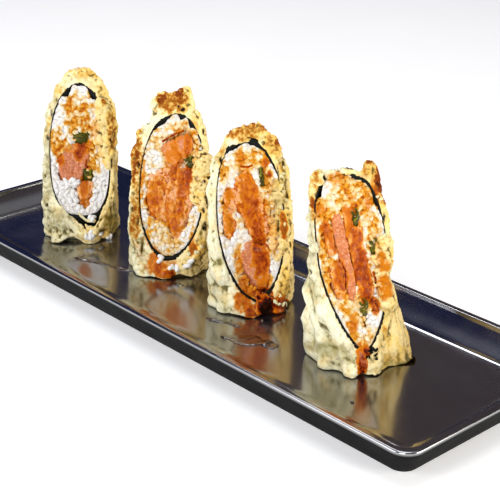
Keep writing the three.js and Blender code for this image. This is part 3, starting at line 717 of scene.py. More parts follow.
def feed(tree, socket, value):
    """Links a value into a socket, or sets it."""
    if isinstance(value, bpy.types.NodeSocket):
        tree.links.new(value, socket)
    elif socket.type == "RGBA":
        socket.default_value = (*value[:3], 1)
    else:
        socket.default_value = value


def feed_named(tree, node, inputs):
    """Feeds inputs given by their names in lower case."""
    for key, value in inputs.items():
        feed(tree, node.inputs[key.replace("_", " ").title().replace("Ior", "IOR")], value)


def add_node(tree, kind, *values, settings=(), **inputs):
    """A new node with its settings, its first inputs in order, and other inputs by name."""
    node = tree.nodes.new(kind)
    for key, value in settings:
        setattr(node, key, value)
    for socket, value in zip(node.inputs, values):
        feed(tree, socket, value)
    feed_named(tree, node, inputs)
    return node


def sockets_of(sockets, kind):
    """The sockets that hold one kind of value."""
    return [socket for socket in sockets if socket.type == kind]


def mix_colours(tree, share, first, second):
    """Blends two colours."""
    node = add_node(tree, "ShaderNodeMix", settings=[("data_type", "RGBA")], factor=share)
    for socket, colour in zip(sockets_of(node.inputs, "RGBA"), (first, second)):
        feed(tree, socket, colour)
    return sockets_of(node.outputs, "RGBA")[0]


def colour_ramp(tree, value, stops):
    """Colours along a value: each stop is a place from 0 to 1 and a colour."""
    node = add_node(tree, "ShaderNodeValToRGB", value)
    elements = node.color_ramp.elements
    elements.remove(elements[1])
    for index, (place, colour) in enumerate(stops):
        element = elements[0] if index == 0 else elements.new(place)
        element.position = place
        element.color = (*colour[:3], 1)
    return node.outputs["Color"]


# The inputs of the tree that scatters copies of a small thing over a bed
TREE_INPUTS = (
    ("Bed", "Geometry"),
    ("Thing", "Object"),
    ("Spacing", "Float"),
    ("Smallest", "Float"),
    ("Largest", "Float"),
    ("Tilt", "Float"),
    ("Lift", "Float"),
    ("Seed", "Int"),
    ("Material", "Material"),
)


def scatter_tree():
    """Geometry Nodes: lays copies of a thing on a bed, turned and sized at random."""
    name = "Scatter Over Bed"
    if name in bpy.data.node_groups:
        return bpy.data.node_groups[name]
    tree = bpy.data.node_groups.new(name, "GeometryNodeTree")
    for label, kind in TREE_INPUTS:
        tree.interface.new_socket(label, in_out="INPUT", socket_type="NodeSocket" + kind)
    tree.interface.new_socket("Things", in_out="OUTPUT", socket_type="NodeSocketGeometry")
    given = tree.nodes.new("NodeGroupInput").outputs
    seed, tilt = given["Seed"], given["Tilt"]

    spread = add_node(
        tree, "GeometryNodeDistributePointsOnFaces", settings=[("distribute_method", "POISSON")],
        mesh=given["Bed"], distance_min=given["Spacing"], density_max=4e6, seed=seed,
    ).outputs
    raised = add_node(
        tree, "ShaderNodeVectorMath", spread["Normal"], settings=[("operation", "SCALE")],
        scale=given["Lift"],
    )
    lifted = add_node(tree, "GeometryNodeSetPosition", geometry=spread["Points"], offset=raised.outputs[0])

    back = add_node(tree, "ShaderNodeMath", tilt, -1, settings=[("operation", "MULTIPLY")]).outputs[0]
    low = add_node(tree, "ShaderNodeCombineXYZ", back, back)
    high = add_node(tree, "ShaderNodeCombineXYZ", tilt, tilt, 2 * math.pi)
    euler = add_node(
        tree, "FunctionNodeEulerToRotation", random_vector(tree, low.outputs[0], high.outputs[0], seed),
    )
    turned = add_node(
        tree, "FunctionNodeRotateRotation", settings=[("rotation_space", "LOCAL")],
        rotation=spread["Rotation"], rotate_by=euler.outputs[0],
    )

    thing = add_node(tree, "GeometryNodeObjectInfo", object=given["Thing"], as_instance=True)
    copies = add_node(
        tree, "GeometryNodeInstanceOnPoints", points=lifted.outputs[0], instance=thing.outputs["Geometry"],
        rotation=turned.outputs[0], scale=random_vector(tree, given["Smallest"], given["Largest"], seed),
    )
    chance = add_node(tree, "FunctionNodeRandomValue", settings=[("data_type", "FLOAT")], seed=seed)
    tinted = add_node(
        tree, "GeometryNodeStoreNamedAttribute", settings=[("data_type", "FLOAT"), ("domain", "INSTANCE")],
        geometry=copies.outputs[0], name="tint", value=sockets_of(chance.outputs, "VALUE")[0],
    )
    real = add_node(tree, "GeometryNodeRealizeInstances", tinted.outputs[0])
    coated = add_node(tree, "GeometryNodeSetMaterial", geometry=real.outputs[0], material=given["Material"])
    add_node(tree, "NodeGroupOutput", things=coated.outputs[0])
    return tree


def random_vector(tree, low, high, seed):
    """A random vector between two sockets."""
    node = add_node(tree, "FunctionNodeRandomValue", settings=[("data_type", "FLOAT_VECTOR")], seed=seed)
    for socket, limit in zip(sockets_of(node.inputs, "VECTOR"), (low, high)):
        feed(tree, socket, limit)
    return sockets_of(node.outputs, "VECTOR")[0]


def scatter(bed, thing, name, spacing, sizes, tilt, lift, seed):
    """Lays copies of a thing over a bed piece and gives them back as one plain mesh.

    They are joined to a piece that gets its material when it is whole, so the tree gets none.
    """
    tree = scatter_tree()
    layer = placed(name, bed.data.copy())
    modifier = layer.modifiers.new("Scatter", "NODES")
    modifier.node_group = tree
    names = {item.name: item.identifier for item in tree.interface.items_tree if item.in_out == "INPUT"}
    values = {
        "Thing": thing, "Spacing": spacing * MM, "Smallest": sizes[0], "Largest": sizes[1],
        "Tilt": math.radians(tilt), "Lift": lift * MM, "Seed": seed, "Material": None,
    }
    for label, value in values.items():
        modifier[names[label]] = value
    bake_modifiers(layer)
    shade_smooth(layer.data)
    return layer


# Materials, and the colours in them that no setting changes

GOLDEN_FILM = linear(0xD89A2C)
GOLDEN_SAUCE = linear(0xDE9A30)
DARK_SAUCE = linear(0x6E2004)
GOLDEN_BATTER = linear(0xE2B860)
# Painted shade in the grooves between the batter's folds
FOLD_GROOVE_SHADE = linear(0x9C9458)
# Olive painted shade of the batter
OLIVE_SHADE = linear(0x8A7A3E)
# Painted shadow in the batter's pits
PIT_SHADOW = linear(0x120C06)
WHITE_GRAIN = linear(0xF2F0EE)
GREY_RICE = linear(0xB4AA98)
CREAM_RICE = linear(0xEADCC6)
YELLOW_RICE = linear(0xE8CE9C)
TUNA_FAT = linear(0xE8BCA0)
STAINED_TUNA = linear(0xCA741C)
GOLDEN_MIX = linear(0xDC9A3C)
# Painted shade in the hollows of the chopped tuna
MIX_HOLLOW_SHADE = linear(0x8C3206)
YELLOW_SCALLION = linear(0x8A8420)
DARK_SCALLION = linear(0x30380F)
BLACK_NORI = linear(0x050604)
GREEN_NORI = linear(0x14180E)
BROWN_DROP = linear(0x5A3816)
DARK_DROP = linear(0x1E1206)
PALE_FLOOR = linear(0xFAFAF8)


class Shader:
    """Builds one material: a Principled shader and the nodes that feed it."""

    def __init__(self, name, glow=None, coat=None, **inputs):
        """Starts a material.

        glow is the share of light let in, how far its red, green and blue reach, and the depth in
        millimetres; coat is the weight and roughness of a clear coat.
        """
        if glow:
            inputs["subsurface_weight"], inputs["subsurface_radius"], depth = glow
            inputs["subsurface_scale"] = depth * MM
        if coat:
            inputs["coat_weight"], inputs["coat_roughness"] = coat
        self.material = bpy.data.materials.new(name)
        self.material.use_nodes = True
        self.tree = self.material.node_tree
        self.surface = self.tree.nodes["Principled BSDF"]
        self.place = self.tree.nodes.new("ShaderNodeTexCoord").outputs["Object"]
        feed_named(self.tree, self.surface, inputs)

    def noise(self, size, detail=3, roughness=0.5, warp=0.0):
        """Cloudy noise whose features are about size millimetres."""
        node = add_node(
            self.tree, "ShaderNodeTexNoise", vector=self.place, scale=1 / (size * MM), detail=detail,
            roughness=roughness, distortion=warp,
        )
        return node.outputs["Fac"]

    def stretched_noise(self, sizes, turn):
        """Noise drawn out along one axis, such as fibres."""
        scale = [1 / (size * MM) for size in sizes]
        mapping = add_node(self.tree, "ShaderNodeMapping", vector=self.place, rotation=turn, scale=scale)
        node = add_node(self.tree, "ShaderNodeTexNoise", vector=mapping.outputs[0], scale=1, detail=3)
        return node.outputs["Fac"]

    def value(self, name):
        """A number stored on the mesh."""
        node = self.tree.nodes.new("ShaderNodeAttribute")
        node.attribute_name = name
        return node.outputs["Fac"]

    def spread(self, value, low, high, to_low=0.0, to_high=1.0):
        """Stretches low..high of a value to to_low..to_high."""
        node = add_node(
            self.tree, "ShaderNodeMapRange", value=value, from_min=low, from_max=high,
            to_min=to_low, to_max=to_high,
        )
        return node.outputs[0]

    def level(self, name, *limits):
        """A number stored on the mesh, stretched as spread does."""
        return self.spread(self.value(name), *limits)

    def cloud(self, size, detail, roughness, *limits, warp=0.0):
        """Cloudy noise, stretched as spread does."""
        return self.spread(self.noise(size, detail, roughness, warp), *limits)

    def math(self, operation, first, second):
        settings = [("operation", operation), ("use_clamp", True)]
        return add_node(self.tree, "ShaderNodeMath", first, second, settings=settings).outputs[0]

    def times(self, first, second):
        return self.math("MULTIPLY", first, second)

    def plus(self, first, second):
        return self.math("ADD", first, second)

    def mix(self, share, first, second):
        return mix_colours(self.tree, share, first, second)

    def ramp(self, value, stops):
        return colour_ramp(self.tree, value, stops)

    def bump(self, height, depth, below=None):
        """Relief of about depth millimetres."""
        node = add_node(self.tree, "ShaderNodeBump", height=height, distance=depth * MM)
        if below is not None:
            feed(self.tree, node.inputs["Normal"], below)
        return node.outputs[0]

    def finish(self, **inputs):
        """The finished material, with what feeds the surface."""
        feed_named(self.tree, self.surface, inputs)
        return self.material


def under_sauce(shader, plain, sauce):
    """A colour under a film of sauce: golden where it is thin, then orange and red-brown, and nearly black
    where it is deepest, partly dark sauce and partly painted shade.
    """
    streaks = shader.cloud(2.4, 4, 0.6, 0.32, 0.68, 0.5, 1.3, warp=0.5)
    depth = shader.times(shader.level("sauce", 0.0, 2.0), streaks)
    wet = shader.ramp(depth, (
        (0.0, GOLDEN_FILM), (0.13, sauce.thin), (0.3, sauce.thick), (0.48, sauce.deep),
        (0.68, DARK_SAUCE), (0.9, sauce.pool),
    ))
    return shader.mix(shader.spread(depth, 0.02, 0.15, 0.0, 0.95), plain, wet)


def batter_material(settings, sauce):
    """Pale to golden by how it is fried, the right side partly golden as painted warm light; crowns and
    fold crests lightened as painted light; creases, fold grooves and olive patches darkened as painted
    shade; then stains, sauce, browned spots and holes with painted shadow in them.
    """
    shader = Shader(
        "Fried batter", glow=(0.08, (1.0, 0.7, 0.3), 1.0), coat=(0.04, 0.25), specular_ior_level=0.15,
    )
    edges = shader.cloud(2.2, 5, 0.6, 0.35, 0.6, 0.3, 1.2)
    browned = shader.times(shader.value("browning"), edges)
    # The gold on the right side is partly fried colour and partly painted warm light.
    gold = shader.plus(shader.value("gilding_and_warm_light"), shader.cloud(6, 4, 0.5, 0.48, 0.7, 0.0, 0.5))
    gold = shader.plus(gold, shader.spread(browned, 0.0, 0.45))
    # Painted light: the crowns of the lumps and the crests of the folds are lightened.
    crown = shader.times(shader.level("hollow", 0.1, -0.6), 0.8)
    crown = shader.plus(crown, shader.level("fold", 0.1, 0.9, 0.0, 0.6))
    pale = shader.mix(crown, settings.pale, settings.crown)
    rich = shader.mix(crown, GOLDEN_BATTER, settings.golden)
    colour = shader.mix(gold, pale, rich)
    # Painted shade: creases, with a random mottle, are darkened.
    crease = shader.times(shader.level("hollow", 0.1, 0.9), 0.85)
    mottled = shader.cloud(1.7, 5, 0.65, 0.52, 0.72, 0.0, 0.35)
    colour = shader.mix(shader.plus(crease, mottled), colour, settings.crease)
    # Painted shade in the grooves between the folds.
    colour = shader.mix(shader.level("fold", -0.1, -0.9, 0.0, 0.5), colour, FOLD_GROOVE_SHADE)
    # Olive painted shade where the shades rows say.
    colour = shader.mix(shader.times(shader.value("olive"), edges), colour, OLIVE_SHADE)
    colour = shader.mix(shader.times(shader.value("stain"), edges), colour, settings.stained)
    colour = under_sauce(shader, colour, sauce)
    colour = shader.mix(shader.spread(browned, 0.25, 0.7), colour, settings.browned)
    colour = shader.mix(shader.spread(browned, 0.7, 1.1), colour, settings.scorched)
    # Painted shadow in the pits.
    colour = shader.mix(shader.times(shader.value("pit_shadow"), edges), colour, PIT_SHADOW)
    rough = shader.cloud(1.6, 3, 0.5, 0.3, 0.7, 0.4, 0.6)
    relief = shader.bump(shader.noise(0.9, 5, 0.65), 0.5)
    return shader.finish(base_color=colour, roughness=rough, normal=relief)


def rice_material(settings, sauce):
    """White grains, yellow to orange where thin sauce has soaked in."""
    shader = Shader(
        "Cooked rice", glow=(0.2, (1.0, 0.85, 0.7), 1.2), coat=(0.1, 0.12), specular_ior_level=0.18,
    )
    white = shader.mix(shader.value("tint"), settings.rice, WHITE_GRAIN)
    white = shader.mix(shader.cloud(1.3, 4, 0.6, 0.5, 0.72, 0.0, 0.35), white, GREY_RICE)
    low = shader.level("hollow", -0.5, 0.5, 0.75, 1.4)
    stain = shader.times(shader.value("stain"), shader.times(low, 0.72))
    stain = shader.times(stain, shader.cloud(3.2, 4, 0.6, 0.36, 0.64, 0.3, 1.4))
    soaked = shader.ramp(stain, (
        (0.0, CREAM_RICE), (0.2, YELLOW_RICE), (0.45, settings.amber),
        (0.7, settings.orange), (0.95, settings.soaked),
    ))
    colour = under_sauce(shader, shader.mix(shader.spread(stain, 0.0, 0.2), white, soaked), sauce)
    relief = shader.bump(shader.noise(0.6, 3), 0.06)
    return shader.finish(base_color=colour, roughness=0.45, normal=relief)


def tuna_material(settings, sauce):
    """Flesh in bands, marbled with fat, under thin sauce."""
    shader = Shader(
        "Raw tuna", glow=(0.15, (1.0, 0.4, 0.2), 1.6), coat=(0.08, 0.1), specular_ior_level=0.12,
    )
    fibres = shader.stretched_noise((1.6, 7.0, 7.0), (0.4, 0.2, 0.9))
    colour = shader.mix(shader.spread(fibres, 0.3, 0.7), settings.tuna, settings.tuna_pale)
    colour = shader.mix(shader.cloud(1.1, 6, 0.75, 0.5, 0.6, 0.0, 0.75), colour, TUNA_FAT)
    stain = shader.times(shader.value("stain"), shader.cloud(3.0, 4, 0.5, 0.3, 0.6, 0.3, 1.2))
    colour = under_sauce(shader, shader.mix(stain, colour, STAINED_TUNA), sauce)
    relief = shader.bump(fibres, 0.1)
    relief = shader.bump(shader.noise(0.9, 3), 0.1, relief)
    return shader.finish(base_color=colour, roughness=0.4, normal=relief)


def mix_material(settings, sauce):
    """Chopped tuna: each lump has its own tone, from deep to pale and back, with painted shade in its
    hollows.
    """
    shader = Shader(
        "Spicy tuna mix", glow=(0.12, (1.0, 0.4, 0.15), 1.4), coat=(0.15, 0.08), specular_ior_level=0.12,
    )
    lump = shader.mix(0.45, shader.cloud(2.4, 5, 0.65, 0.3, 0.7), shader.value("tint"))
    colour = shader.ramp(lump, (
        (0.12, settings.mix_deep), (0.35, settings.mix_bright), (0.46, GOLDEN_MIX),
        (0.56, settings.mix_pale), (0.66, settings.mix_pale), (0.8, settings.mix_bright),
        (0.95, settings.mix_deep),
    ))
    colour = under_sauce(shader, colour, sauce)
    # Painted shade in the hollows.
    colour = shader.mix(shader.times(shader.level("hollow", 0.0, 0.6), 0.85), colour, MIX_HOLLOW_SHADE)
    relief = shader.bump(shader.noise(1.1, 4, 0.6), 0.25)
    return shader.finish(base_color=colour, roughness=0.4, normal=relief)


def scallion_material(settings):
    shader = Shader(
        "Scallion", glow=(0.2, (0.5, 1.0, 0.2), 0.8), coat=(0.15, 0.15), specular_ior_level=0.2,
    )
    colour = shader.mix(shader.level("tint", 0.2, 0.9), settings.scallion, YELLOW_SCALLION)
    colour = shader.mix(shader.cloud(0.9, 3, 0.5, 0.55, 0.7), colour, DARK_SCALLION)
    return shader.finish(base_color=colour, roughness=0.35, normal=shader.bump(shader.noise(0.5, 2), 0.1))


def nori_material():
    shader = Shader("Nori", specular_ior_level=0.25)
    fibres = shader.noise(0.9, 5, 0.65, 1.0)
    colour = shader.mix(shader.spread(fibres, 0.35, 0.7), BLACK_NORI, GREEN_NORI)
    return shader.finish(base_color=colour, roughness=0.5, normal=shader.bump(fibres, 0.2))


def sauce_material(settings):
    """Golden where it is thin, then orange, red-brown and nearly black where it stands deep, which is
    partly dark sauce and partly painted shade.
    """
    shader = Shader("Sauce", coat=(0.22, 0.06), specular_ior_level=0.1)
    streaks = shader.cloud(2.8, 5, 0.6, 0.32, 0.68, 0.6, 1.35, warp=1.0)
    fine = shader.cloud(1.0, 3, 0.5, 0.35, 0.65, 0.8, 1.15)
    tone = shader.times(shader.times(shader.level("depth", 0.0, 2.5), fine), streaks)
    colour = shader.ramp(tone, (
        (0.0, GOLDEN_SAUCE), (0.12, settings.thin), (0.28, settings.thick),
        (0.48, settings.deep), (0.68, DARK_SAUCE), (0.88, settings.pool),
    ))
    relief = shader.bump(shader.noise(1.3, 4, 0.65), 0.3)
    return shader.finish(base_color=colour, roughness=0.35, normal=relief)


def drop_material():
    """Thin sauce and oil that has run out on the plate."""
    shader = Shader("Drops", coat=(1.0, 0.04), ior=1.8, coat_ior=2.2, roughness=0.25)
    colour = shader.mix(shader.cloud(5, 3, 0.5, 0.35, 0.65), BROWN_DROP, DARK_DROP)
    cover = shader.level("depth", 0.0, 0.4, 0.3, 0.75)
    relief = shader.bump(shader.noise(2.0, 2), 0.15)
    return shader.finish(base_color=colour, alpha=cover, normal=relief)


def glaze_material(settings):
    """Polished inside and on the lip under a clear coat, bare on the outside, whose near-black colour is a
    painted dark reflection.
    """
    shader = Shader("Dark glaze", ior=3.0, coat_ior=2.3)
    glazed = shader.value("glazed")
    colour = shader.mix(shader.cloud(38, 4, 0.5, 0.35, 0.7), settings.glaze, settings.glaze_light)
    # Painted dark reflection: the bare outside is near black in place of what it would mirror.
    colour = shader.mix(glazed, settings.bare, colour)
    polish = shader.cloud(14, 4, 0.6, 0.3, 0.7, 0.16, 0.24)
    rough = shader.math("SUBTRACT", shader.plus(polish, 0.4), shader.times(glazed, 0.4))
    relief = shader.bump(shader.noise(0.8, 4, 0.6), 0.01)
    relief = shader.bump(shader.noise(9, 2), 0.03, relief)
    return shader.finish(
        base_color=colour, roughness=rough, normal=relief,
        specular_ior_level=shader.spread(glazed, 0, 1, 0.02, 0.5),
        coat_weight=shader.times(glazed, 0.9), coat_roughness=shader.times(polish, 0.55),
    )


def floor_material(settings):
    shader = Shader("Pale floor", emission_color=(1, 1, 1), emission_strength=0.25)
    colour = shader.mix(shader.noise(60, 3), settings.floor, PALE_FLOOR)
    return shader.finish(base_color=colour, roughness=0.7)


# Settings that a user would change

def length_setting(name, description, millimetres):
    """A length that a user gives in the scene's unit."""
    return FloatProperty(name=name, description=description, default=millimetres * MM, min=0, unit="LENGTH")


def colour_setting(name, description, code):
    return FloatVectorProperty(
        name=name, description=description, default=linear(code), min=0, max=1, subtype="COLOR",
    )


def power_setting(name, description, watts):
    return FloatProperty(name=name, description=description, default=watts, min=0, unit="POWER")


class PlateSettings(bpy.types.PropertyGroup):
    length: length_setting("Length", "Length over the lip", 360)
    width: length_setting("Width", "Width over the lip", 122)
    height: length_setting("Height", "Height of the lip above the table", 17.2)
    glaze: colour_setting("Glaze", "Colour of the glaze", 0x191A21)
    glaze_light: colour_setting("Light glaze", "Colour of the glaze where it is thin", 0x28272C)
    # Painted dark reflection: the outside's near-black colour stands in for what it would mirror.
    bare: colour_setting("Bare", "Colour of the outside, which has no glaze", 0x060607)


class BatterSettings(bpy.types.PropertyGroup):
    grid: length_setting("Grid", "Size of the mesh that the batter is made of", 0.5)
    pale: colour_setting("Pale", "Batter that is hardly fried", 0xE6DFB4)
    # Painted light: the colour given to the lit crowns of lumps and crests of folds.
    crown: colour_setting("Crown", "Batter on the crown of its lumps", 0xF8F4D4)
    golden: colour_setting("Golden", "Batter fried golden", 0xF4D27A)
    # Painted shade: the colour given to shaded creases.
    crease: colour_setting("Crease", "Batter in the creases", 0x5E5226)
    browned: colour_setting("Browned", "Browned spots", 0xAA6A16)
    scorched: colour_setting("Scorched", "The darkest spots", 0x742A06)
    stained: colour_setting("Stained", "Batter with sauce on it", 0xCC7E10)


class FillingSettings(bpy.types.PropertyGroup):
    grain_length: length_setting("Grain length", "Length of a grain of rice", 4.6)
    grain_width: length_setting("Grain width", "Width of a grain of rice", 2.7)
    grain_spacing: length_setting("Grain spacing", "Least distance between grains", 1.8)
    rice: colour_setting("Rice", "Plain rice", 0xE8E5E2)
    amber: colour_setting("Amber", "Rice with thin sauce on it", 0xD89A2C)
    orange: colour_setting("Orange", "Rice with more sauce on it", 0xCE8418)
    soaked: colour_setting("Soaked", "Rice soaked in sauce", 0xB05A10)
    tuna: colour_setting("Tuna", "Raw tuna", 0xB06444)
    tuna_pale: colour_setting("Pale tuna", "The lighter bands of the tuna", 0xCE8E6E)
    mix_deep: colour_setting("Deep mix", "Dark parts of the chopped tuna", 0xA84E0A)
    mix_bright: colour_setting("Bright mix", "Bright parts of the chopped tuna", 0xC26C1A)
    mix_pale: colour_setting("Pale mix", "Pale chunks of the chopped tuna", 0xE2AC82)
    scallion: colour_setting("Scallion", "Chopped scallion", 0x4E4A08)


class SauceSettings(bpy.types.PropertyGroup):
    step: length_setting("Step", "Distance between the points of the sauce's surface", 0.4)
    thin: colour_setting("Thin", "Sauce where it is thin", 0xD08014)
    thick: colour_setting("Thick", "Sauce where it is thick", 0xBE6608)
    deep: colour_setting("Deep", "Sauce where it is thicker still", 0x9E4204)
    # Partly dark sauce and partly painted shade, where the sauce stands deepest and in the seams.
    pool: colour_setting("Pool", "Sauce where it stands deep", 0x200800)


class StageSettings(bpy.types.PropertyGroup):
    floor: colour_setting("Floor", "Colour of the floor", 0xFFFFFE)
    right: power_setting("Right", "Power of the light on the right", 7.5)
    left: power_setting("Left", "Power of the light on the left", 6)
    front: power_setting("Front", "Power of the light in front", 7.4)
    top: power_setting("Top", "Power of the light above", 2.6)
    edge: power_setting("Edge", "Power of the light that shines on the lip", 1.6)
    room: FloatProperty(name="Room", description="Strength of the room's light", default=0.75, min=0)
    lens: FloatProperty(name="Lens", description="Focal length", default=97.91, unit="CAMERA")


# The plate

def rounded_rectangle(half_length, half_width, radius, z, steps):
    """The points of a level rectangle with round corners."""
    points = []
    for corner in range(4):
        sign_x = 1 if corner in (0, 3) else -1
        sign_y = 1 if corner < 2 else -1
        for step in range(steps + 1):
            angle = (corner + step / steps) * math.pi / 2
            points.append((
                sign_x * (half_length - radius) + radius * math.cos(angle),
                sign_y * (half_width - radius) + radius * math.sin(angle),
                z,
            ))
    return points


def curve_through(rows, steps):
    """A smooth line through rows of numbers."""
    rows = np.array(rows, float)
    padded = np.vstack([2 * rows[0] - rows[1], rows, 2 * rows[-1] - rows[-2]])
    points = []
    for i in range(1, len(padded) - 2):
        before, start, end, after = padded[i - 1 : i + 3]
        square = 2 * before - 5 * start + 4 * end - after
        cube = 3 * start - before - 3 * end + after
        for t in np.arange(steps) / steps:
            points.append(0.5 * (2 * start + (end - before) * t + square * t**2 + cube * t**3))
    points.append(rows[-1])
    return points


def plate_mesh(settings):
    """A shallow tray: the foot ring, the sloping outside, the rounded lip, the wall and the floor."""
    length, width, height = (v / MM for v in (settings.length, settings.width, settings.height))

    def lip_row(inset, rise):
        return inset, inset, height - LIP_ROUNDING + LIP_ROUNDING * rise

    # Rows of the section: inset from the edge at the sides and at the ends, and height
    foot = [(18.8, 18.8, 1.8), (17.4, 17.4, 0.3), (16.6, 16.6, 0), (11.4, 11.4, 0), (10.6, 10.6, 0.25)]
    outside = curve_through([(10.4, 10.4, 0.4), (9, 9, 1.2), (0.7, 0.7, height - 2.6)], 4)
    quarter = math.pi / 2
    lip = [
        lip_row(LIP_ROUNDING - LIP_ROUNDING * math.cos(turn), math.sin(turn))
        for turn in np.linspace(0, quarter, 6)
    ]
    flat_end = LIP_ROUNDING + LIP_WIDTH
    lip += [
        lip_row(flat_end + LIP_ROUNDING * math.sin(turn), math.cos(turn))
        for turn in np.linspace(0.2, quarter, 5)
    ]
    inner = flat_end + LIP_ROUNDING
    rise = height - PLATE_FLOOR
    wall = [(inner, inner, height - LIP_ROUNDING - 0.3)]
    wall += [
        (FLOOR_INSET_SIDES * run, FLOOR_INSET_ENDS * run, PLATE_FLOOR + rise * share)
        for run, share in ((0.5, 0.5), (0.8, 0.19), (0.9, 0.07), (1.08, 0.0))
    ]
    rings = []
    for sides, ends, z in [*foot, *outside, *lip, *curve_through(wall, 5)]:
        radius = 9 - 4 * min(sides / FLOOR_INSET_SIDES, 1)
        rings.append(rounded_rectangle(length / 2 - ends, width / 2 - sides, radius, z, 10))
    count = len(rings[0])
    vertices = [[c * MM for c in p] for ring in rings for p in ring]
    faces = ring_faces(len(rings), count)
    faces.append(tuple(range(count))[::-1])
    faces.append(tuple(range((len(rings) - 1) * count, len(rings) * count)))
    plate = new_piece("plate_glazed", vertices, faces)
    bare_rows = len(foot) + len(outside)
    set_values(plate, "glazed", [float(i // count >= bare_rows) for i in range(len(vertices))])
    return plate


# Batter

def crust_knobs(roll, base, knob):
    """Lumps over the outside of the batter, but for its smooth folds."""
    centres = roll.to_local(face_values(base, "center"))
    knobbly = roll.spots(centres, roll.folds, 0) < 0.5
    below = (roll.lift(centres) < -3) & (centres[:, 2] > 1.5)
    skin = keep_faces(base, "skin", knobbly & below & (roll.outside(centres) > 1.5))
    knobs = scatter(skin, knob, "knobs", 1.15 * roll.knob_size, (0.2, 1.05), 30, -1.0, roll.number)
    remove_piece(skin)
    return knobs


def crust_mounds(roll):
    """Batter that runs over the edge of the cut: each mound is a handful of crumbs."""
    random = np.random.default_rng(roll.number)
    crumbs = []
    for x, front, half_x, half_front, height in roll.mounds:
        for _ in range(int(3 + 1.7 * half_x * half_front)):
            angle, reach = random.uniform(0, 2 * math.pi), math.sqrt(random.uniform(0, 1))
            crumb_x = x + half_x * reach * math.cos(angle)
            crumb_front = front + half_front * reach * math.sin(angle)
            lift = height * (1 - reach**2) + random.uniform(-1.2, 0.2)
            crumbs.append((roll.on_cut(crumb_x, crumb_front, lift), random.uniform(*roll.crumb_sizes)))
    for row in roll.strands:
        for x, front in curve_through(row, 7):
            crumbs.append((roll.on_cut(x, front, -0.6), random.uniform(1.8, 2.4)))
    pieces = []
    for index, (centre, size) in enumerate(crumbs):
        piece = blob("crumb", (size, size, size), 0.5, 2, index)
        set_points(piece, points_of(piece) + roll.to_part(centre))
        pieces.append(piece)
    return join_pieces(pieces, "mounds")


def close_gap(roll, local):
    """Brings the batter's inner wall up to the nori where the photo shows no air between them."""
    front = np.clip(-local[:, 1] / roll.half_depth, 0, 1) ** roll.front_power
    ends = np.clip(np.abs(local[:, 1]) / roll.half_depth, 0, 1) ** 2
    air = roll.front_gap * front
    shift = np.maximum(air - roll.void(local, roll.front_voids, -1), -1.6) + 0.4 + 0.3 * ends
    near = np.clip(1 - (roll.outside(local) - air) / 4, 0, 1)
    moved = local.copy()
    moved[:, :2] *= (1 - shift * near / roll.half_width)[:, None]
    climb = roll.cut_height(moved[:, 0], moved[:, 1]) - roll.cut_height(local[:, 0], local[:, 1])
    moved[:, 2] += climb * roll.near_cut(local, 8)
    return moved


def crust_swell(roll, local, folded, folds, pits):
    """How far the batter's knobs, folds, crumbs and holes raise or sink its skin."""
    lift = roll.lift(local)
    wander = [soft_noise(local, 4, roll.number + seed) for seed in WANDER_SEEDS]
    knobs, _ = lumps(local + 1.3 * np.stack(wander, -1), roll.knob_size, roll.number)
    crumbs, _ = lumps(local, CRUMB_SIZE, roll.number + CRUMB_SEED)
    uneven = np.clip(0.7 + 0.7 * soft_noise(local, 11, roll.number + UNEVEN_SEED), 0.1, 1.2)
    fine = soft_noise(local, 0.9, roll.number + FINE_SEED)
    mounded = np.clip(roll.spots(local, roll.mounds, 0), 0, 1) * np.clip(lift, 0, 1)
    crumble = (0.3 + roll.crumble * (0.3 + to_right(local))) * (1 - 0.8 * folded)
    crumble = crumble + roll.mound_crumble * mounded
    crumble += 0.4 * roll.near_cut(local, 5) * (1 - mounded)
    swell = (1 - folded) * roll.knob_depth * uneven * (knobs - 0.6)
    swell = swell + folded * roll.fold_depth * (folds - 0.6)
    swell += 0.8 * crumble * (crumbs - 0.55) + 0.15 * fine - 1.2 * pits
    return swell * np.clip(np.maximum(roll.outside(local) - 0.8, lift - 0.3), 0, 1)


def to_right(local):
    """0 on the left of a half roll to 1 on its right, which is fried darker and rougher, and on which warm
    light is painted as gold.
    """
    return np.clip(0.5 + local[:, 0] / 24, 0, 1)


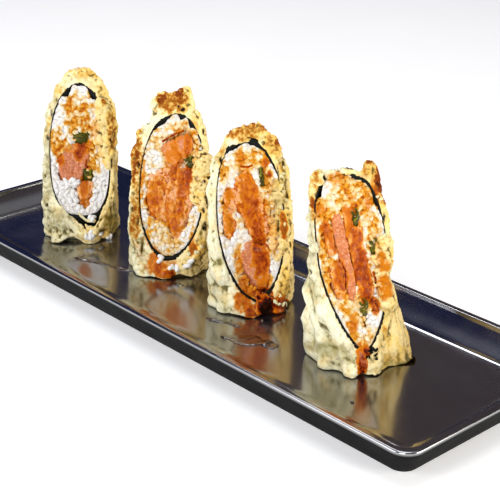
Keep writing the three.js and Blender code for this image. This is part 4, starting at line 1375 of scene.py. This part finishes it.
def make_crust(roll, knob, material, settings):
    """The batter of one half roll, fused from its solid, knobs and mounds, with its relief."""
    name = f"batter_crust_{roll.number}"
    base = merged_copy(name, "base")
    parts = [base, crust_knobs(roll, base, knob), crust_mounds(roll)]
    crust = remesh(join_pieces(parts, f"batter_{roll.number}"), settings.grid / MM, 4)
    local = close_gap(roll, roll.local_points(crust))
    rim = roll.near_cut(local, 1.5) * np.clip(2.5 - roll.outside(local), 0, 1)
    over = np.maximum(roll.lift(local) - 0.8, 0) * (1 - np.clip(roll.spots(local, roll.mounds, 0), 0, 1))
    local = roll.bulge(local + (0.45 * rim - 0.7 * over)[:, None] * roll.normal)
    roll.place_points(crust, local)
    right = to_right(local)
    folded = roll.spots(local, roll.folds, 0)
    folds, _ = lumps(local * FOLD_STRETCH, roll.fold_size, roll.number + FOLD_SEED)
    pits = np.clip(roll.spots(local, roll.pits, 0.7, PIT_SEED), 0, 1)
    move_along_normals(crust, crust_swell(roll, local, folded, folds, pits))
    local = roll.local_points(crust)
    local[:, 2] = np.maximum(local[:, 2], FIT_GAP)
    roll.place_points(crust, local)
    fade = 0.45 + 0.55 * np.clip(1.3 + roll.lift(local) / 30, 0, 1)
    near_cut = roll.near_cut(local, 6)
    # Values for the material: crowns and fold crests for painted light, creases and fold grooves for
    # painted shade, the right side's gold that is partly painted warm light, olive patches of painted
    # shade, and pits for painted shadow.
    values = {
        "hollow": fade * np.clip(hollows(crust, 14) / 0.3, -1, 1),
        "gilding_and_warm_light": np.clip(0.9 * (right - 0.3), 0, 1),
        "browning": roll.spots(local, roll.browned, 0.6, BROWNED_SEED) * near_cut,
        "stain": roll.spots(local, roll.stains, 0.6, SAUCE_SEED) * near_cut,
        "sauce": roll.sauce_on(local) * near_cut,
        "olive": roll.spots(local, roll.shades, 0.6, SHADE_SEED),
        "fold": folded * np.clip((folds - 0.6) / 0.3, -1, 1),
        "pit_shadow": pits,
    }
    for label, amounts in values.items():
        set_values(crust, label, amounts)
    coat(crust, material)
    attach(crust, "root")
    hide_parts(name)


# Nori

def make_nori(roll, material):
    """The sheet round the rice, with an uneven upper edge."""
    around, rows = 160, 12
    angles = np.arange(around) / around * 2 * math.pi
    rings = []
    for grow, shares in ((0.0, np.linspace(0, 1, rows)), (-NORI_THICKNESS, np.linspace(1, 0, rows))):
        for share in shares:
            x, y = roll.section(angles, grow)
            spot = np.stack([x, y, np.full(around, 20.0)], -1)
            edge = 0.35 * soft_noise(spot, 1.7, roll.number) + 0.25 * soft_noise(spot, 5, roll.number)
            top = roll.cut_height(x, y) + edge + 0.4
            spot[:, 2] = top
            top = top - 3.0 * np.clip(roll.spots(spot, roll.hidden, 0.3, HIDDEN_SEED), 0, 1)
            z = INSIDE_BASE + (top - INSIDE_BASE) * share
            wave = 0.12 * soft_noise(np.stack([x, y, z], -1), 4, roll.number + 9)
            x, y = roll.section(angles, grow + wave - 0.12)
            rings.append(np.stack([x, y, z], -1))
    vertices = roll.to_part(np.vstack(rings))
    piece = new_piece(f"nori_sheet_{roll.number}", vertices, ring_faces(len(rings), around, closed=True))
    coat(piece, material)
    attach(piece, "root")
    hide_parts(f"nori_{roll.number}")


# Rice

def rice_core(roll):
    """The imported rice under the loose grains, level with the cut less part of a grain's height."""
    core = merged_copy(f"rice_{roll.number}", "core")
    local = roll.local_points(core)
    before = roll.cut_height(local[:, 0], local[:, 1])
    back = np.clip(local[:, 1] / (roll.half_depth - roll.back_gap - 1), 0, 1)
    local[:, 1] += (roll.back_gap + 0.8) * back**3
    local[:, :2] *= 1 + 1.3 / roll.half_width
    local[:, 2] *= roll.cut_height(local[:, 0], local[:, 1]) / before
    top = roll.cut_height(local[:, 0], local[:, 1]) - 2.6
    local[:, 2] = np.minimum(local[:, 2], top)
    roll.place_points(core, local)
    remesh(core, 0.8, 2)
    local = roll.local_points(core)
    near_top = np.clip((roll.lift(local) + 3) / 1.5, 0, 1)
    move_along_normals(core, 0.8 * (lumps(local, 2.6, roll.number)[0] - 0.5) * near_top)
    return core


def top_faces(roll, piece, depth, least_facing):
    """The faces of a piece near the cut that look out of it, as a bed for what lies there."""
    centres = roll.to_local(face_values(piece, "center"))
    facing = face_values(piece, "normal") @ roll.direction(roll.normal)
    return keep_faces(piece, "bed", (roll.lift(centres) > -depth) & (facing > least_facing))


def make_rice(roll, grain_piece, material, settings):
    """Rice: two layers of loose grains on a packed core, kept inside the nori."""
    core = rice_core(roll)
    bed = top_faces(roll, core, 3, 0.35)
    parts = [core]
    for layer, lift in enumerate((0.1, 0.75)):
        spacing = settings.grain_spacing / MM * (1 + 0.6 * layer)
        seed = 10 * roll.number + layer
        parts.append(scatter(bed, grain_piece, "grains", spacing, (0.8, 1.1), 32, lift, seed))
    remove_piece(bed)
    set_values(core, "tint", np.full(len(core.data.vertices), 0.3))
    rice = join_pieces(parts, f"rice_grains_{roll.number}")
    local = roll.local_points(rice)
    lift = roll.lift(local)
    level = np.where(lift > 0, 0.45 * lift, lift)
    over = np.maximum(roll.outside(local) + NORI_THICKNESS + 0.1 + roll.void(local, roll.voids, 1), 0)
    local[:, :2] *= (1 - over / roll.half_width)[:, None]
    height = roll.cut_height(local[:, 0], local[:, 1]) + level / roll.normal[2]
    local[:, 2] = np.maximum(height, INSIDE_BASE)
    roll.place_points(rice, local)
    set_values(rice, "hollow", np.clip((0.3 - lift) / 1.5, -1, 1))
    spared = 1.3 - 0.7 * values_of(rice, "tint")
    clouds = 0.8 + 1.2 * soft_noise(local, 5.0, 3) + 0.5 * soft_noise(local, 1.8, 4)
    tinge = roll.tinge * np.clip(clouds, 0, 2)
    set_values(rice, "stain", np.maximum(roll.spots(local, roll.stains, 0.7, SAUCE_SEED), tinge) * spared)
    set_values(rice, "sauce", roll.sauce_on(local))
    shade_smooth(rice.data)
    coat(rice, material)
    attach(rice, "root")
    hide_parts(f"rice_{roll.number}")


# Fish and scallion

def nodes_of(kind, roll):
    """The frame's solids of one kind in one half roll."""
    start = f"{kind}_{roll.number}"
    return sorted(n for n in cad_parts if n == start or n.startswith(start + "_"))


def slice_piece(roll, piece):
    """Presses what stands over the cut down by half, as a knife leaves it."""
    local = roll.local_points(piece)
    over = 0.5 * np.maximum(roll.lift(local) - 0.2, 0)
    roll.place_points(piece, local - over[:, None] * roll.normal)


def make_tuna(roll, node, material):
    """The strip of raw tuna, wavy on its cut."""
    piece = remesh(merged_copy(node, node.replace("tuna", "tuna_cut")), 0.5, 2)
    local = roll.local_points(piece)
    relief = 0.5 * soft_noise(local, 3.5, roll.number) + 0.35 * soft_noise(local, 1.2, roll.number)
    move_along_normals(piece, (relief + 0.25) * roll.near_cut(local, 3))
    slice_piece(roll, piece)
    tinge = (0.15 + 0.7 * roll.tinge) * (1 + soft_noise(local, 4.0, 3) + 0.5 * soft_noise(local, 1.7, 4))
    set_values(piece, "stain", tinge)
    set_values(piece, "sauce", roll.sauce_on(local))
    coat(piece, material)
    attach(piece, "root")
    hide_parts(node)


def make_mix(roll, node, chunk, material):
    """Chopped tuna in sauce: a lumpy bed and loose chunks, run together."""
    body = merged_copy(node, "body")
    bed = top_faces(roll, body, 1, 0.5)
    seed = roll.number * 3 + int(node[-1])
    chunks = scatter(bed, chunk, "chunks", 5.0, (0.6, 1.2), 20, -0.5, seed)
    remove_piece(bed)
    piece = remesh(join_pieces([body, chunks], node.replace("tuna", "tuna_mix")), 0.4, 3)
    local = roll.local_points(piece)
    strips = local * np.array([1, 1, 0.4])
    crowns, chances = lumps(strips, 3.0, roll.number)
    small, _ = lumps(strips, 1.2, roll.number + 5)
    move_along_normals(piece, (0.55 * (crowns - 0.5) + 0.25 * (small - 0.5)) * roll.near_cut(local, 3))
    slice_piece(roll, piece)
    set_values(piece, "tint", chances)
    set_values(piece, "sauce", roll.sauce_on(local))
    # How deep each point lies in a hollow, for the painted shade there.
    set_values(piece, "hollow", np.clip(hollows(piece, 6) / 0.2, -1, 1))
    coat(piece, material)
    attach(piece, "root")
    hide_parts(node)


def scallion_sliver(radius, wall, width, arc):
    """A piece of a chopped scallion: part of a ring, lying flat, in millimetres."""
    steps = 12
    rows = []
    for angle in np.linspace(-arc / 2, arc / 2, steps):
        taper = 1 - 0.35 * abs(2 * angle / arc) ** 3
        for side, level in ((-1, -1), (1, -1), (1, 1), (-1, 1)):
            reach = radius + side * wall / 2 * taper
            height = level * width / 2 * taper
            rows.append((reach * math.cos(angle) - radius, reach * math.sin(angle), height))
    ends = [(3, 2, 1, 0), tuple(4 * (steps - 1) + i for i in range(4))]
    return np.array(rows), ends + ring_faces(steps, 4)


def make_scallion(roll, node, material):
    """Chopped scallion in the place of a solid: slivers of rings pressed into the rice."""
    solid = roll.to_local(points_of(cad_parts[node]))
    x, front, lift = roll.face_place(solid)
    on_top = lift > lift.max() - 2
    x, front = x[on_top], front[on_top]
    middle = np.array([(x.min() + x.max()) / 2, (front.min() + front.max()) / 2])
    reach = np.array([(x.max() - x.min()) / 2, (front.max() - front.min()) / 2])
    random = np.random.default_rng(len(node) * 7 + roll.number)
    parts = [remesh(merged_copy(node, "body"), 0.4, 3)]
    upright = Vector(roll.direction(roll.normal)).to_track_quat("Z", "Y").to_matrix()
    slant = reach * np.array([1, roll.stretch])
    long_and_thin = slant.max() > 1.8 * slant.min()
    for _ in range(3 + int(reach[0] * reach[1] * 0.35)):
        radius, arc = random.uniform(1.5, 2.6), random.uniform(1.4, 3.2)
        angle = random.uniform(0, 2 * math.pi)
        if long_and_thin:
            radius, arc = slant.max() * random.uniform(0.7, 1.1), random.uniform(0.8, 1.3)
            angle = (math.pi / 2 if slant[0] > slant[1] else 0) + random.uniform(-0.25, 0.25)
        rows, faces = scallion_sliver(radius, random.uniform(0.6, 0.9), random.uniform(1.0, 1.8), arc)
        centre = roll.on_cut(*(middle + reach * random.uniform(-0.5, 0.5, 2)), 0.4)
        tip = Matrix.Rotation(random.uniform(-0.3, 0.3), 3, "X")
        turn = upright @ Matrix.Rotation(angle, 3, "Z") @ tip
        parts.append(new_piece("sliver", rows @ np.array(turn).T * MM + roll.to_part(centre), faces))
    for index, part in enumerate(parts):
        set_values(part, "tint", np.full(len(part.data.vertices), random.uniform(0, 1) if index else 0.1))
    piece = join_pieces(parts, node.replace("scallion", "scallion_cut"))
    coat(piece, material)
    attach(piece, "root")
    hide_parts(node)


# Sauce

def blurred(values, known, times):
    """Averages a grid with its neighbours, leaving out what isn't known."""
    total, weight = values * known, known.astype(float)
    for _ in range(times):
        for axis in (0, 1):
            total = total + np.roll(total, 1, axis) + np.roll(total, -1, axis)
            weight = weight + np.roll(weight, 1, axis) + np.roll(weight, -1, axis)
    return total / np.maximum(weight, 1e-9)


def film(name, tops, bottoms, present, depth, material):
    """A closed skin between two grids of points, over the squares whose corners are all present."""
    squares = present[:-1, :-1] & present[1:, :-1] & present[1:, 1:] & present[:-1, 1:]
    rows, columns = present.shape
    index = np.arange(rows * columns).reshape(rows, columns)
    faces = []
    for i, j in zip(*np.nonzero(squares)):
        corners = [index[i, j], index[i + 1, j], index[i + 1, j + 1], index[i, j + 1]]
        faces.append(corners)
        faces.append([c + rows * columns for c in corners[::-1]])
        sides = ((i, j - 1, 0, 1), (i + 1, j, 1, 2), (i, j + 1, 2, 3), (i - 1, j, 3, 0))
        for near_i, near_j, start, end in sides:
            inside = 0 <= near_i < rows - 1 and 0 <= near_j < columns - 1 and squares[near_i, near_j]
            if not inside:
                a, b = corners[start], corners[end]
                faces.append([b, a, a + rows * columns, b + rows * columns])
    piece = new_piece(name, np.vstack([tops.reshape(-1, 3), bottoms.reshape(-1, 3)]), faces)
    set_values(piece, "depth", np.tile(depth.ravel(), 2))
    shape = bmesh.new()
    shape.from_mesh(piece.data)
    loose = [v for v in shape.verts if not v.link_faces]
    bmesh.ops.delete(shape, geom=loose, context="VERTS")
    bmesh.ops.recalc_face_normals(shape, faces=shape.faces)
    shape.to_mesh(piece.data)
    shape.free()
    coat(piece, material)
    return piece


def surface_tree(pieces):
    """The surface of several pieces, for rays to hit."""
    points, triangles, start = [], [], 0
    for piece in pieces:
        piece.data.calc_loop_triangles()
        flat = np.zeros(len(piece.data.loop_triangles) * 3, int)
        piece.data.loop_triangles.foreach_get("vertices", flat)
        points.append(points_of(piece))
        triangles.append(flat.reshape(-1, 3) + start)
        start += len(piece.data.vertices)
    return BVHTree.FromPolygons(np.vstack(points).tolist(), np.vstack(triangles).tolist())


def pieces_of(roll):
    """The finished pieces of one half roll."""
    end = f"_{roll.number}"
    kinds = ("batter", "nori_sheet", "rice_grains", "tuna_cut", "spicy_tuna_mix", "scallion_cut")
    starts = tuple(kind + end for kind in kinds)
    found = [piece for piece in bpy.data.objects if piece.type == "MESH" and piece.name.startswith(starts)]
    if not found:
        raise RuntimeError("make the half rolls before what lies on them")
    return found


def flat_grid(across, along):
    """The x and y of a grid, and its points in a row for the noise."""
    x, y = np.meshgrid(across, along, indexing="ij")
    return x, y, np.stack([x, y, np.zeros_like(x)], -1).reshape(-1, 3)


def sauce_thickness(roll, grid, front):
    """Thickness of the thick sauce at each point of a grid of x and slant, below 0 where none is."""
    ragged = 0
    for size, share in ((5, 0.8), (2.4, 1), (1.1, 0.5)):
        ragged = ragged + soft_noise(grid, size, roll.number + 60) * share
    thickness = np.full(len(grid), -1.0)
    for row_x, row_front, half_x, half_front, height in roll.sauce:
        if height >= FILM_LIMIT:
            away = oval_reach(grid[:, 0] - row_x, front - row_front, half_x, half_front)
            thickness = np.maximum(thickness, height * np.minimum(1.15 * (1 - away + 0.4 * ragged), 1))
    # Seams: thin lines of dark sauce that paint the shadow between the fillings.
    for seam in roll.seams:
        for seam_x, seam_front in curve_through(seam, 12):
            away = np.hypot(grid[:, 0] - seam_x, grid[:, 1] - seam_front * roll.stretch) / SHADOW_SEAM_HALF_WIDTH
            thickness = np.maximum(thickness, SHADOW_SEAM_DEPTH * (1 - away + 0.2 * ragged))
    return thickness


def level_under(roll, pieces, flat, present):
    """How far the pieces stand above the cut under the points that are present, and where they do."""
    tree = surface_tree(pieces)
    origins = roll.to_part(flat + RAY_START * roll.normal)
    direction = Vector(-roll.direction(roll.normal))
    level = np.zeros(present.shape)
    known = np.zeros(present.shape, bool)
    for i, j in zip(*np.nonzero(present)):
        hit = tree.ray_cast(Vector(origins[i, j]), direction, 2.5 * RAY_START * MM)
        if hit[0] is not None:
            level[i, j] = RAY_START - hit[3] / MM
            known[i, j] = True
    return level, known


def make_glaze(roll, pieces, material, settings):
    """Thick sauce on the cut and down the front of the batter, lying on what is under it."""
    step = settings.step / MM
    reach_x, reach_slant = 22.0, 24.0 * roll.stretch
    across, down = (np.arange(-reach, reach, step) for reach in (reach_x, reach_slant))
    x, slant, grid = flat_grid(across, down)
    front = slant / roll.stretch
    flat = roll.on_cut(x, front)
    thickness = sauce_thickness(roll, grid, front.ravel()).reshape(x.shape)
    present = thickness > -0.25
    level, known = level_under(roll, pieces, flat, present)
    present &= known
    bed = np.maximum(blurred(level, known, 2), level - 0.35)
    calm = np.clip(thickness / 0.6, 0, 1)
    bed += calm * (blurred(level, known, 8) - bed)
    top = bed + np.clip(thickness, -0.25, 0.6) - 0.06
    depth = np.clip(thickness, 0, None) + np.clip(bed - level, 0, 1) * np.clip(1 + 5 * thickness, 0, 1)
    bottom = np.minimum(level, top) - 0.4
    tops, bottoms = (roll.to_part(flat + height[..., None] * roll.normal) for height in (top, bottom))
    piece = film(f"sauce_{roll.number}", tops, bottoms, present, depth, material)
    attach(piece, "root")


def make_crumbs(kind, shapes, trees, material):
    """Crumbs of one kind, pressed into what they lie on, as one piece."""
    random = np.random.default_rng(len(kind))
    parts = []
    for roll, tree in zip(HALF_ROLLS, trees):
        for row_kind, middle_x, middle_front, half_x, half_front, count in roll.crumbs:
            for _ in range(count if row_kind == kind else 0):
                x = middle_x + half_x * random.uniform(-1, 1)
                front = middle_front + half_front * random.uniform(-1, 1)
                origin = Vector(roll.to_part(roll.on_cut(x, front, 14.0)))
                spot, normal, _, _ = tree.ray_cast(origin, Vector(-roll.direction(roll.normal)), 0.04)
                if spot is None:
                    continue
                part = placed("crumb", random.choice(shapes).data.copy())
                turn = normal.to_track_quat("Z", "Y").to_matrix()
                turn = turn @ Matrix.Rotation(random.uniform(0, 2 * math.pi), 3, "Z")
                points = points_of(part) * random.uniform(0.7, 1.1)
                set_points(part, points @ np.array(turn).T + np.array(spot + normal * 0.3 * MM))
                set_values(part, "tint", np.full(len(part.data.vertices), random.uniform(0, 1)))
                parts.append(part)
    piece = join_pieces(parts, f"{kind}_crumbs")
    coat(piece, material)
    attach(piece, "root")


def make_drops(material):
    """Drops and smears of sauce and oil on the plate's floor, as one piece."""
    step = 0.5
    x, y, grid = flat_grid(np.arange(-110, 140, step), np.arange(-38, 26, step))
    ragged = (soft_noise(grid, 3.0, 71) + 0.6 * soft_noise(grid, 1.3, 72)).reshape(x.shape)
    height = np.full(x.shape, -1.0)
    for row_x, row_y, half_long, half_short, turn, thickness in DROPS:
        cos, sin = math.cos(math.radians(turn)), math.sin(math.radians(turn))
        along = (x - row_x) * cos + (y - row_y) * sin
        aside = (y - row_y) * cos - (x - row_x) * sin
        away = oval_reach(along, aside, half_long, half_short)
        height = np.maximum(height, thickness * (1 - away + 0.3 * ragged))
    ripples = soft_noise(grid * np.array([1, 0.5, 1]), 2.4, 73).reshape(x.shape)
    top = 0.9 * np.clip(height, 0, None) ** 0.6 * (1 + 0.45 * ripples)
    flat = np.stack([x, y, np.full_like(x, PLATE_FLOOR)], -1)
    tops = (flat + (top[..., None] + 0.02) * UP) * MM
    bottoms = (flat - 0.1 * UP) * MM
    piece = film("plate_drops", tops, bottoms, height > 0, top, material)
    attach(piece, "root")


# Operators

class ROLL_OT_plate(bpy.types.Operator):
    """Make the glazed plate"""

    bl_idname = "roll.plate"
    bl_label = "Plate"

    def execute(self, context):
        settings = context.scene.roll_plate
        plate = plate_mesh(settings)
        coat(plate, glaze_material(settings))
        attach(plate, "root")
        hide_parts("plate")
        return {"FINISHED"}


class ROLL_OT_batter(bpy.types.Operator):
    """Make the fried batter round each half roll"""

    bl_idname = "roll.batter"
    bl_label = "Batter"

    def execute(self, context):
        settings = context.scene.roll_batter
        material = batter_material(settings, context.scene.roll_sauce)
        for roll in HALF_ROLLS:
            size = 0.8 * roll.knob_size
            knob = blob("knob", (size, size, size * 0.45), 0.6, 3, roll.number)
            make_crust(roll, knob, material, settings)
            remove_piece(knob)
        return {"FINISHED"}


class ROLL_OT_nori(bpy.types.Operator):
    """Make the nori round the rice"""

    bl_idname = "roll.nori"
    bl_label = "Nori"

    def execute(self, context):
        material = nori_material()
        for roll in HALF_ROLLS:
            make_nori(roll, material)
        return {"FINISHED"}


class ROLL_OT_rice(bpy.types.Operator):
    """Make the rice of each half roll, grain by grain where it shows"""

    bl_idname = "roll.rice"
    bl_label = "Rice"

    def execute(self, context):
        settings = context.scene.roll_filling
        material = rice_material(settings, context.scene.roll_sauce)
        single = grain(settings.grain_length / MM, settings.grain_width / MM)
        for roll in HALF_ROLLS:
            make_rice(roll, single, material, settings)
        remove_piece(single)
        return {"FINISHED"}


class ROLL_OT_fish(bpy.types.Operator):
    """Make the cut tuna and the chopped spicy tuna"""

    bl_idname = "roll.fish"
    bl_label = "Fish"

    def execute(self, context):
        settings = context.scene.roll_filling
        sauce = context.scene.roll_sauce
        flesh, chopped = tuna_material(settings, sauce), mix_material(settings, sauce)
        chunk = blob("chunk", (3.4, 2.4, 1.9), 0.4, 2, 5)
        for roll in HALF_ROLLS:
            for node in nodes_of("tuna", roll):
                make_tuna(roll, node, flesh)
            for node in nodes_of("spicy_tuna", roll):
                make_mix(roll, node, chunk, chopped)
        remove_piece(chunk)
        return {"FINISHED"}


class ROLL_OT_scallion(bpy.types.Operator):
    """Make the chopped scallion"""

    bl_idname = "roll.scallion"
    bl_label = "Scallion"

    def execute(self, context):
        material = scallion_material(context.scene.roll_filling)
        for roll in HALF_ROLLS:
            for node in nodes_of("scallion", roll):
                make_scallion(roll, node, material)
        return {"FINISHED"}


class ROLL_OT_sauce(bpy.types.Operator):
    """Pour the sauce over the half rolls"""

    bl_idname = "roll.sauce"
    bl_label = "Sauce"

    def execute(self, context):
        settings = context.scene.roll_sauce
        material = sauce_material(settings)
        for roll in HALF_ROLLS:
            make_glaze(roll, pieces_of(roll), material, settings)
        return {"FINISHED"}


class ROLL_OT_crumbs(bpy.types.Operator):
    """Drop crumbs of rice, nori and batter on the batter, and sauce on the plate"""

    bl_idname = "roll.crumbs"
    bl_label = "Crumbs and drops"

    def execute(self, context):
        trees = [surface_tree(pieces_of(roll)) for roll in HALF_ROLLS]
        materials = {
            kind: bpy.data.materials[name]
            for kind, name in (("rice", "Cooked rice"), ("nori", "Nori"), ("batter", "Fried batter"))
        }
        shapes = {
            "rice": [grain(4.2, 2.4)],
            "nori": [blob("flake", (2.0, 1.3, 0.6), 0.6, 2, seed) for seed in (1, 2, 3)],
            "batter": [blob("crumb", (2.4, 1.8, 1.4), 0.7, 2, seed) for seed in (4, 5, 6)],
        }
        for kind, material in materials.items():
            make_crumbs(kind, shapes[kind], trees, material)
            for shape in shapes[kind]:
                remove_piece(shape)
        make_drops(drop_material())
        return {"FINISHED"}


def area_light(name, place, size, power, colour):
    """A square lamp that shines on the middle of the food."""
    light = bpy.data.lights.new(name, "AREA")
    light.size = size
    light.energy = power
    light.color = colour
    lamp = placed(name, light)
    lamp.location = place
    lamp.rotation_euler = (Vector(LIT_PLACE) - lamp.location).to_track_quat("-Z", "Y").to_euler()


def room(settings, right):
    """Soft light from above, and low down a dim room that the plate mirrors, bluish on the left."""
    world = bpy.data.worlds.new("Soft room")
    world.use_nodes = True
    tree = world.node_tree
    direction = tree.nodes.new("ShaderNodeTexCoord").outputs["Generated"]
    side = add_node(tree, "ShaderNodeVectorMath", direction, right, settings=[("operation", "DOT_PRODUCT")])
    middle = add_node(tree, "ShaderNodeMath", side.outputs["Value"], 0.5, settings=[("operation", "ADD")])
    low = colour_ramp(tree, middle.outputs[0], ((0.4, BLUISH_SIDE), (0.5, DIM_SIDE)))
    upwards = add_node(tree, "ShaderNodeSeparateXYZ", direction).outputs["Z"]
    height = add_node(tree, "ShaderNodeMapRange", value=upwards, from_min=0.8, from_max=1.0)
    sky = mix_colours(tree, height.outputs[0], low, OVERHEAD)
    feed_named(tree, tree.nodes["Background"], {"color": sky, "strength": settings.room})
    return world


def camera_view():
    """The camera's directions: forward, level to the right, and its own right and up."""
    heading, pitch, tilt = (math.radians(angle) for angle in (VIEW_HEADING, VIEW_PITCH, VIEW_TILT))
    level = math.cos(pitch)
    forward = Vector((math.cos(heading) * level, math.sin(heading) * level, -math.sin(pitch)))
    right = Vector((math.sin(heading), -math.cos(heading), 0))
    up = right.cross(forward)
    across = math.cos(tilt) * right + math.sin(tilt) * up
    above = -math.sin(tilt) * right + math.cos(tilt) * up
    return forward, right, across, above


class ROLL_OT_stage(bpy.types.Operator):
    """Make the floor, the light and the camera"""

    bl_idname = "roll.stage"
    bl_label = "Stage"

    def execute(self, context):
        settings = context.scene.roll_stage
        half = 3.0
        corners = [(-half, -half, 0), (half, -half, 0), (half, half, 0), (-half, half, 0)]
        floor = new_piece("floor", corners, [(0, 1, 2, 3)], smooth=False)
        coat(floor, floor_material(settings))

        forward, right, across, above = camera_view()
        context.scene.world = room(settings, right)
        camera_data = bpy.data.cameras.new("Camera")
        camera_data.sensor_width = 36
        camera_data.lens = settings.lens
        camera_data.clip_start, camera_data.clip_end = 0.01, 20
        camera = placed("Camera", camera_data)
        rotation = Matrix((across, above, -forward)).transposed()
        camera.matrix_world = Matrix.Translation(VIEW_PLACE) @ rotation.to_4x4()
        context.scene.camera = camera

        # Name, place over the table, height, width, power and colour of each lamp
        flat = Vector((forward.x, forward.y, 0)).normalized()
        lamps = (
            ("Right", right - flat * 0.55, 0.28, 0.6, settings.right, (1.0, 0.96, 0.88)),
            ("Left", -right - flat * 0.45, 0.45, 0.7, settings.left, (0.98, 0.98, 1.0)),
            ("Front", -right * 0.35 - flat * 1.15, 0.42, 0.5, settings.front, (1.0, 0.99, 0.97)),
            ("Top", Vector((0, 0, 0)), 1.2, 0.6, settings.top, (1.0, 1.0, 1.0)),
            ("Edge", Vector((-0.62, 0.36, 0)), 1.02, 0.3, settings.edge, (1.0, 1.0, 1.0)),
        )
        for name, place, height, size, power, colour in lamps:
            area_light(name, place + Vector((0, 0, height)), size, power, colour)
        context.scene.view_settings.view_transform = "Standard"
        context.scene.view_settings.look = "Medium High Contrast"
        return {"FINISHED"}


OPERATORS = (
    ROLL_OT_stage, ROLL_OT_plate, ROLL_OT_batter, ROLL_OT_nori, ROLL_OT_fish, ROLL_OT_scallion,
    ROLL_OT_rice, ROLL_OT_sauce, ROLL_OT_crumbs,
)
SETTINGS = {
    "roll_plate": PlateSettings,
    "roll_batter": BatterSettings,
    "roll_filling": FillingSettings,
    "roll_sauce": SauceSettings,
    "roll_stage": StageSettings,
}


class ROLL_PT_panel(bpy.types.Panel):
    """Lists the pieces of the roll"""

    bl_idname = "ROLL_PT_panel"
    bl_label = "Tempura Roll"
    bl_space_type = "VIEW_3D"
    bl_region_type = "UI"
    bl_category = "Tempura Roll"

    def draw(self, context):
        for name, group in SETTINGS.items():
            box = self.layout.box()
            box.label(text=group.__name__)
            for prop in group.__annotations__:
                box.prop(getattr(context.scene, name), prop)
        for operator in OPERATORS:
            self.layout.operator(operator.bl_idname)


CLASSES = (*SETTINGS.values(), *OPERATORS, ROLL_PT_panel)


def register():
    for item in CLASSES:
        bpy.utils.register_class(item)
    for name, group in SETTINGS.items():
        setattr(bpy.types.Scene, name, PointerProperty(type=group))


def unregister():
    for name in SETTINGS:
        delattr(bpy.types.Scene, name)
    for item in reversed(CLASSES):
        bpy.utils.unregister_class(item)


def main():
    register()
    for operator in OPERATORS:
        group, name = operator.bl_idname.split(".")
        getattr(getattr(bpy.ops, group), name)()


if __name__ == "__main__":
    main()
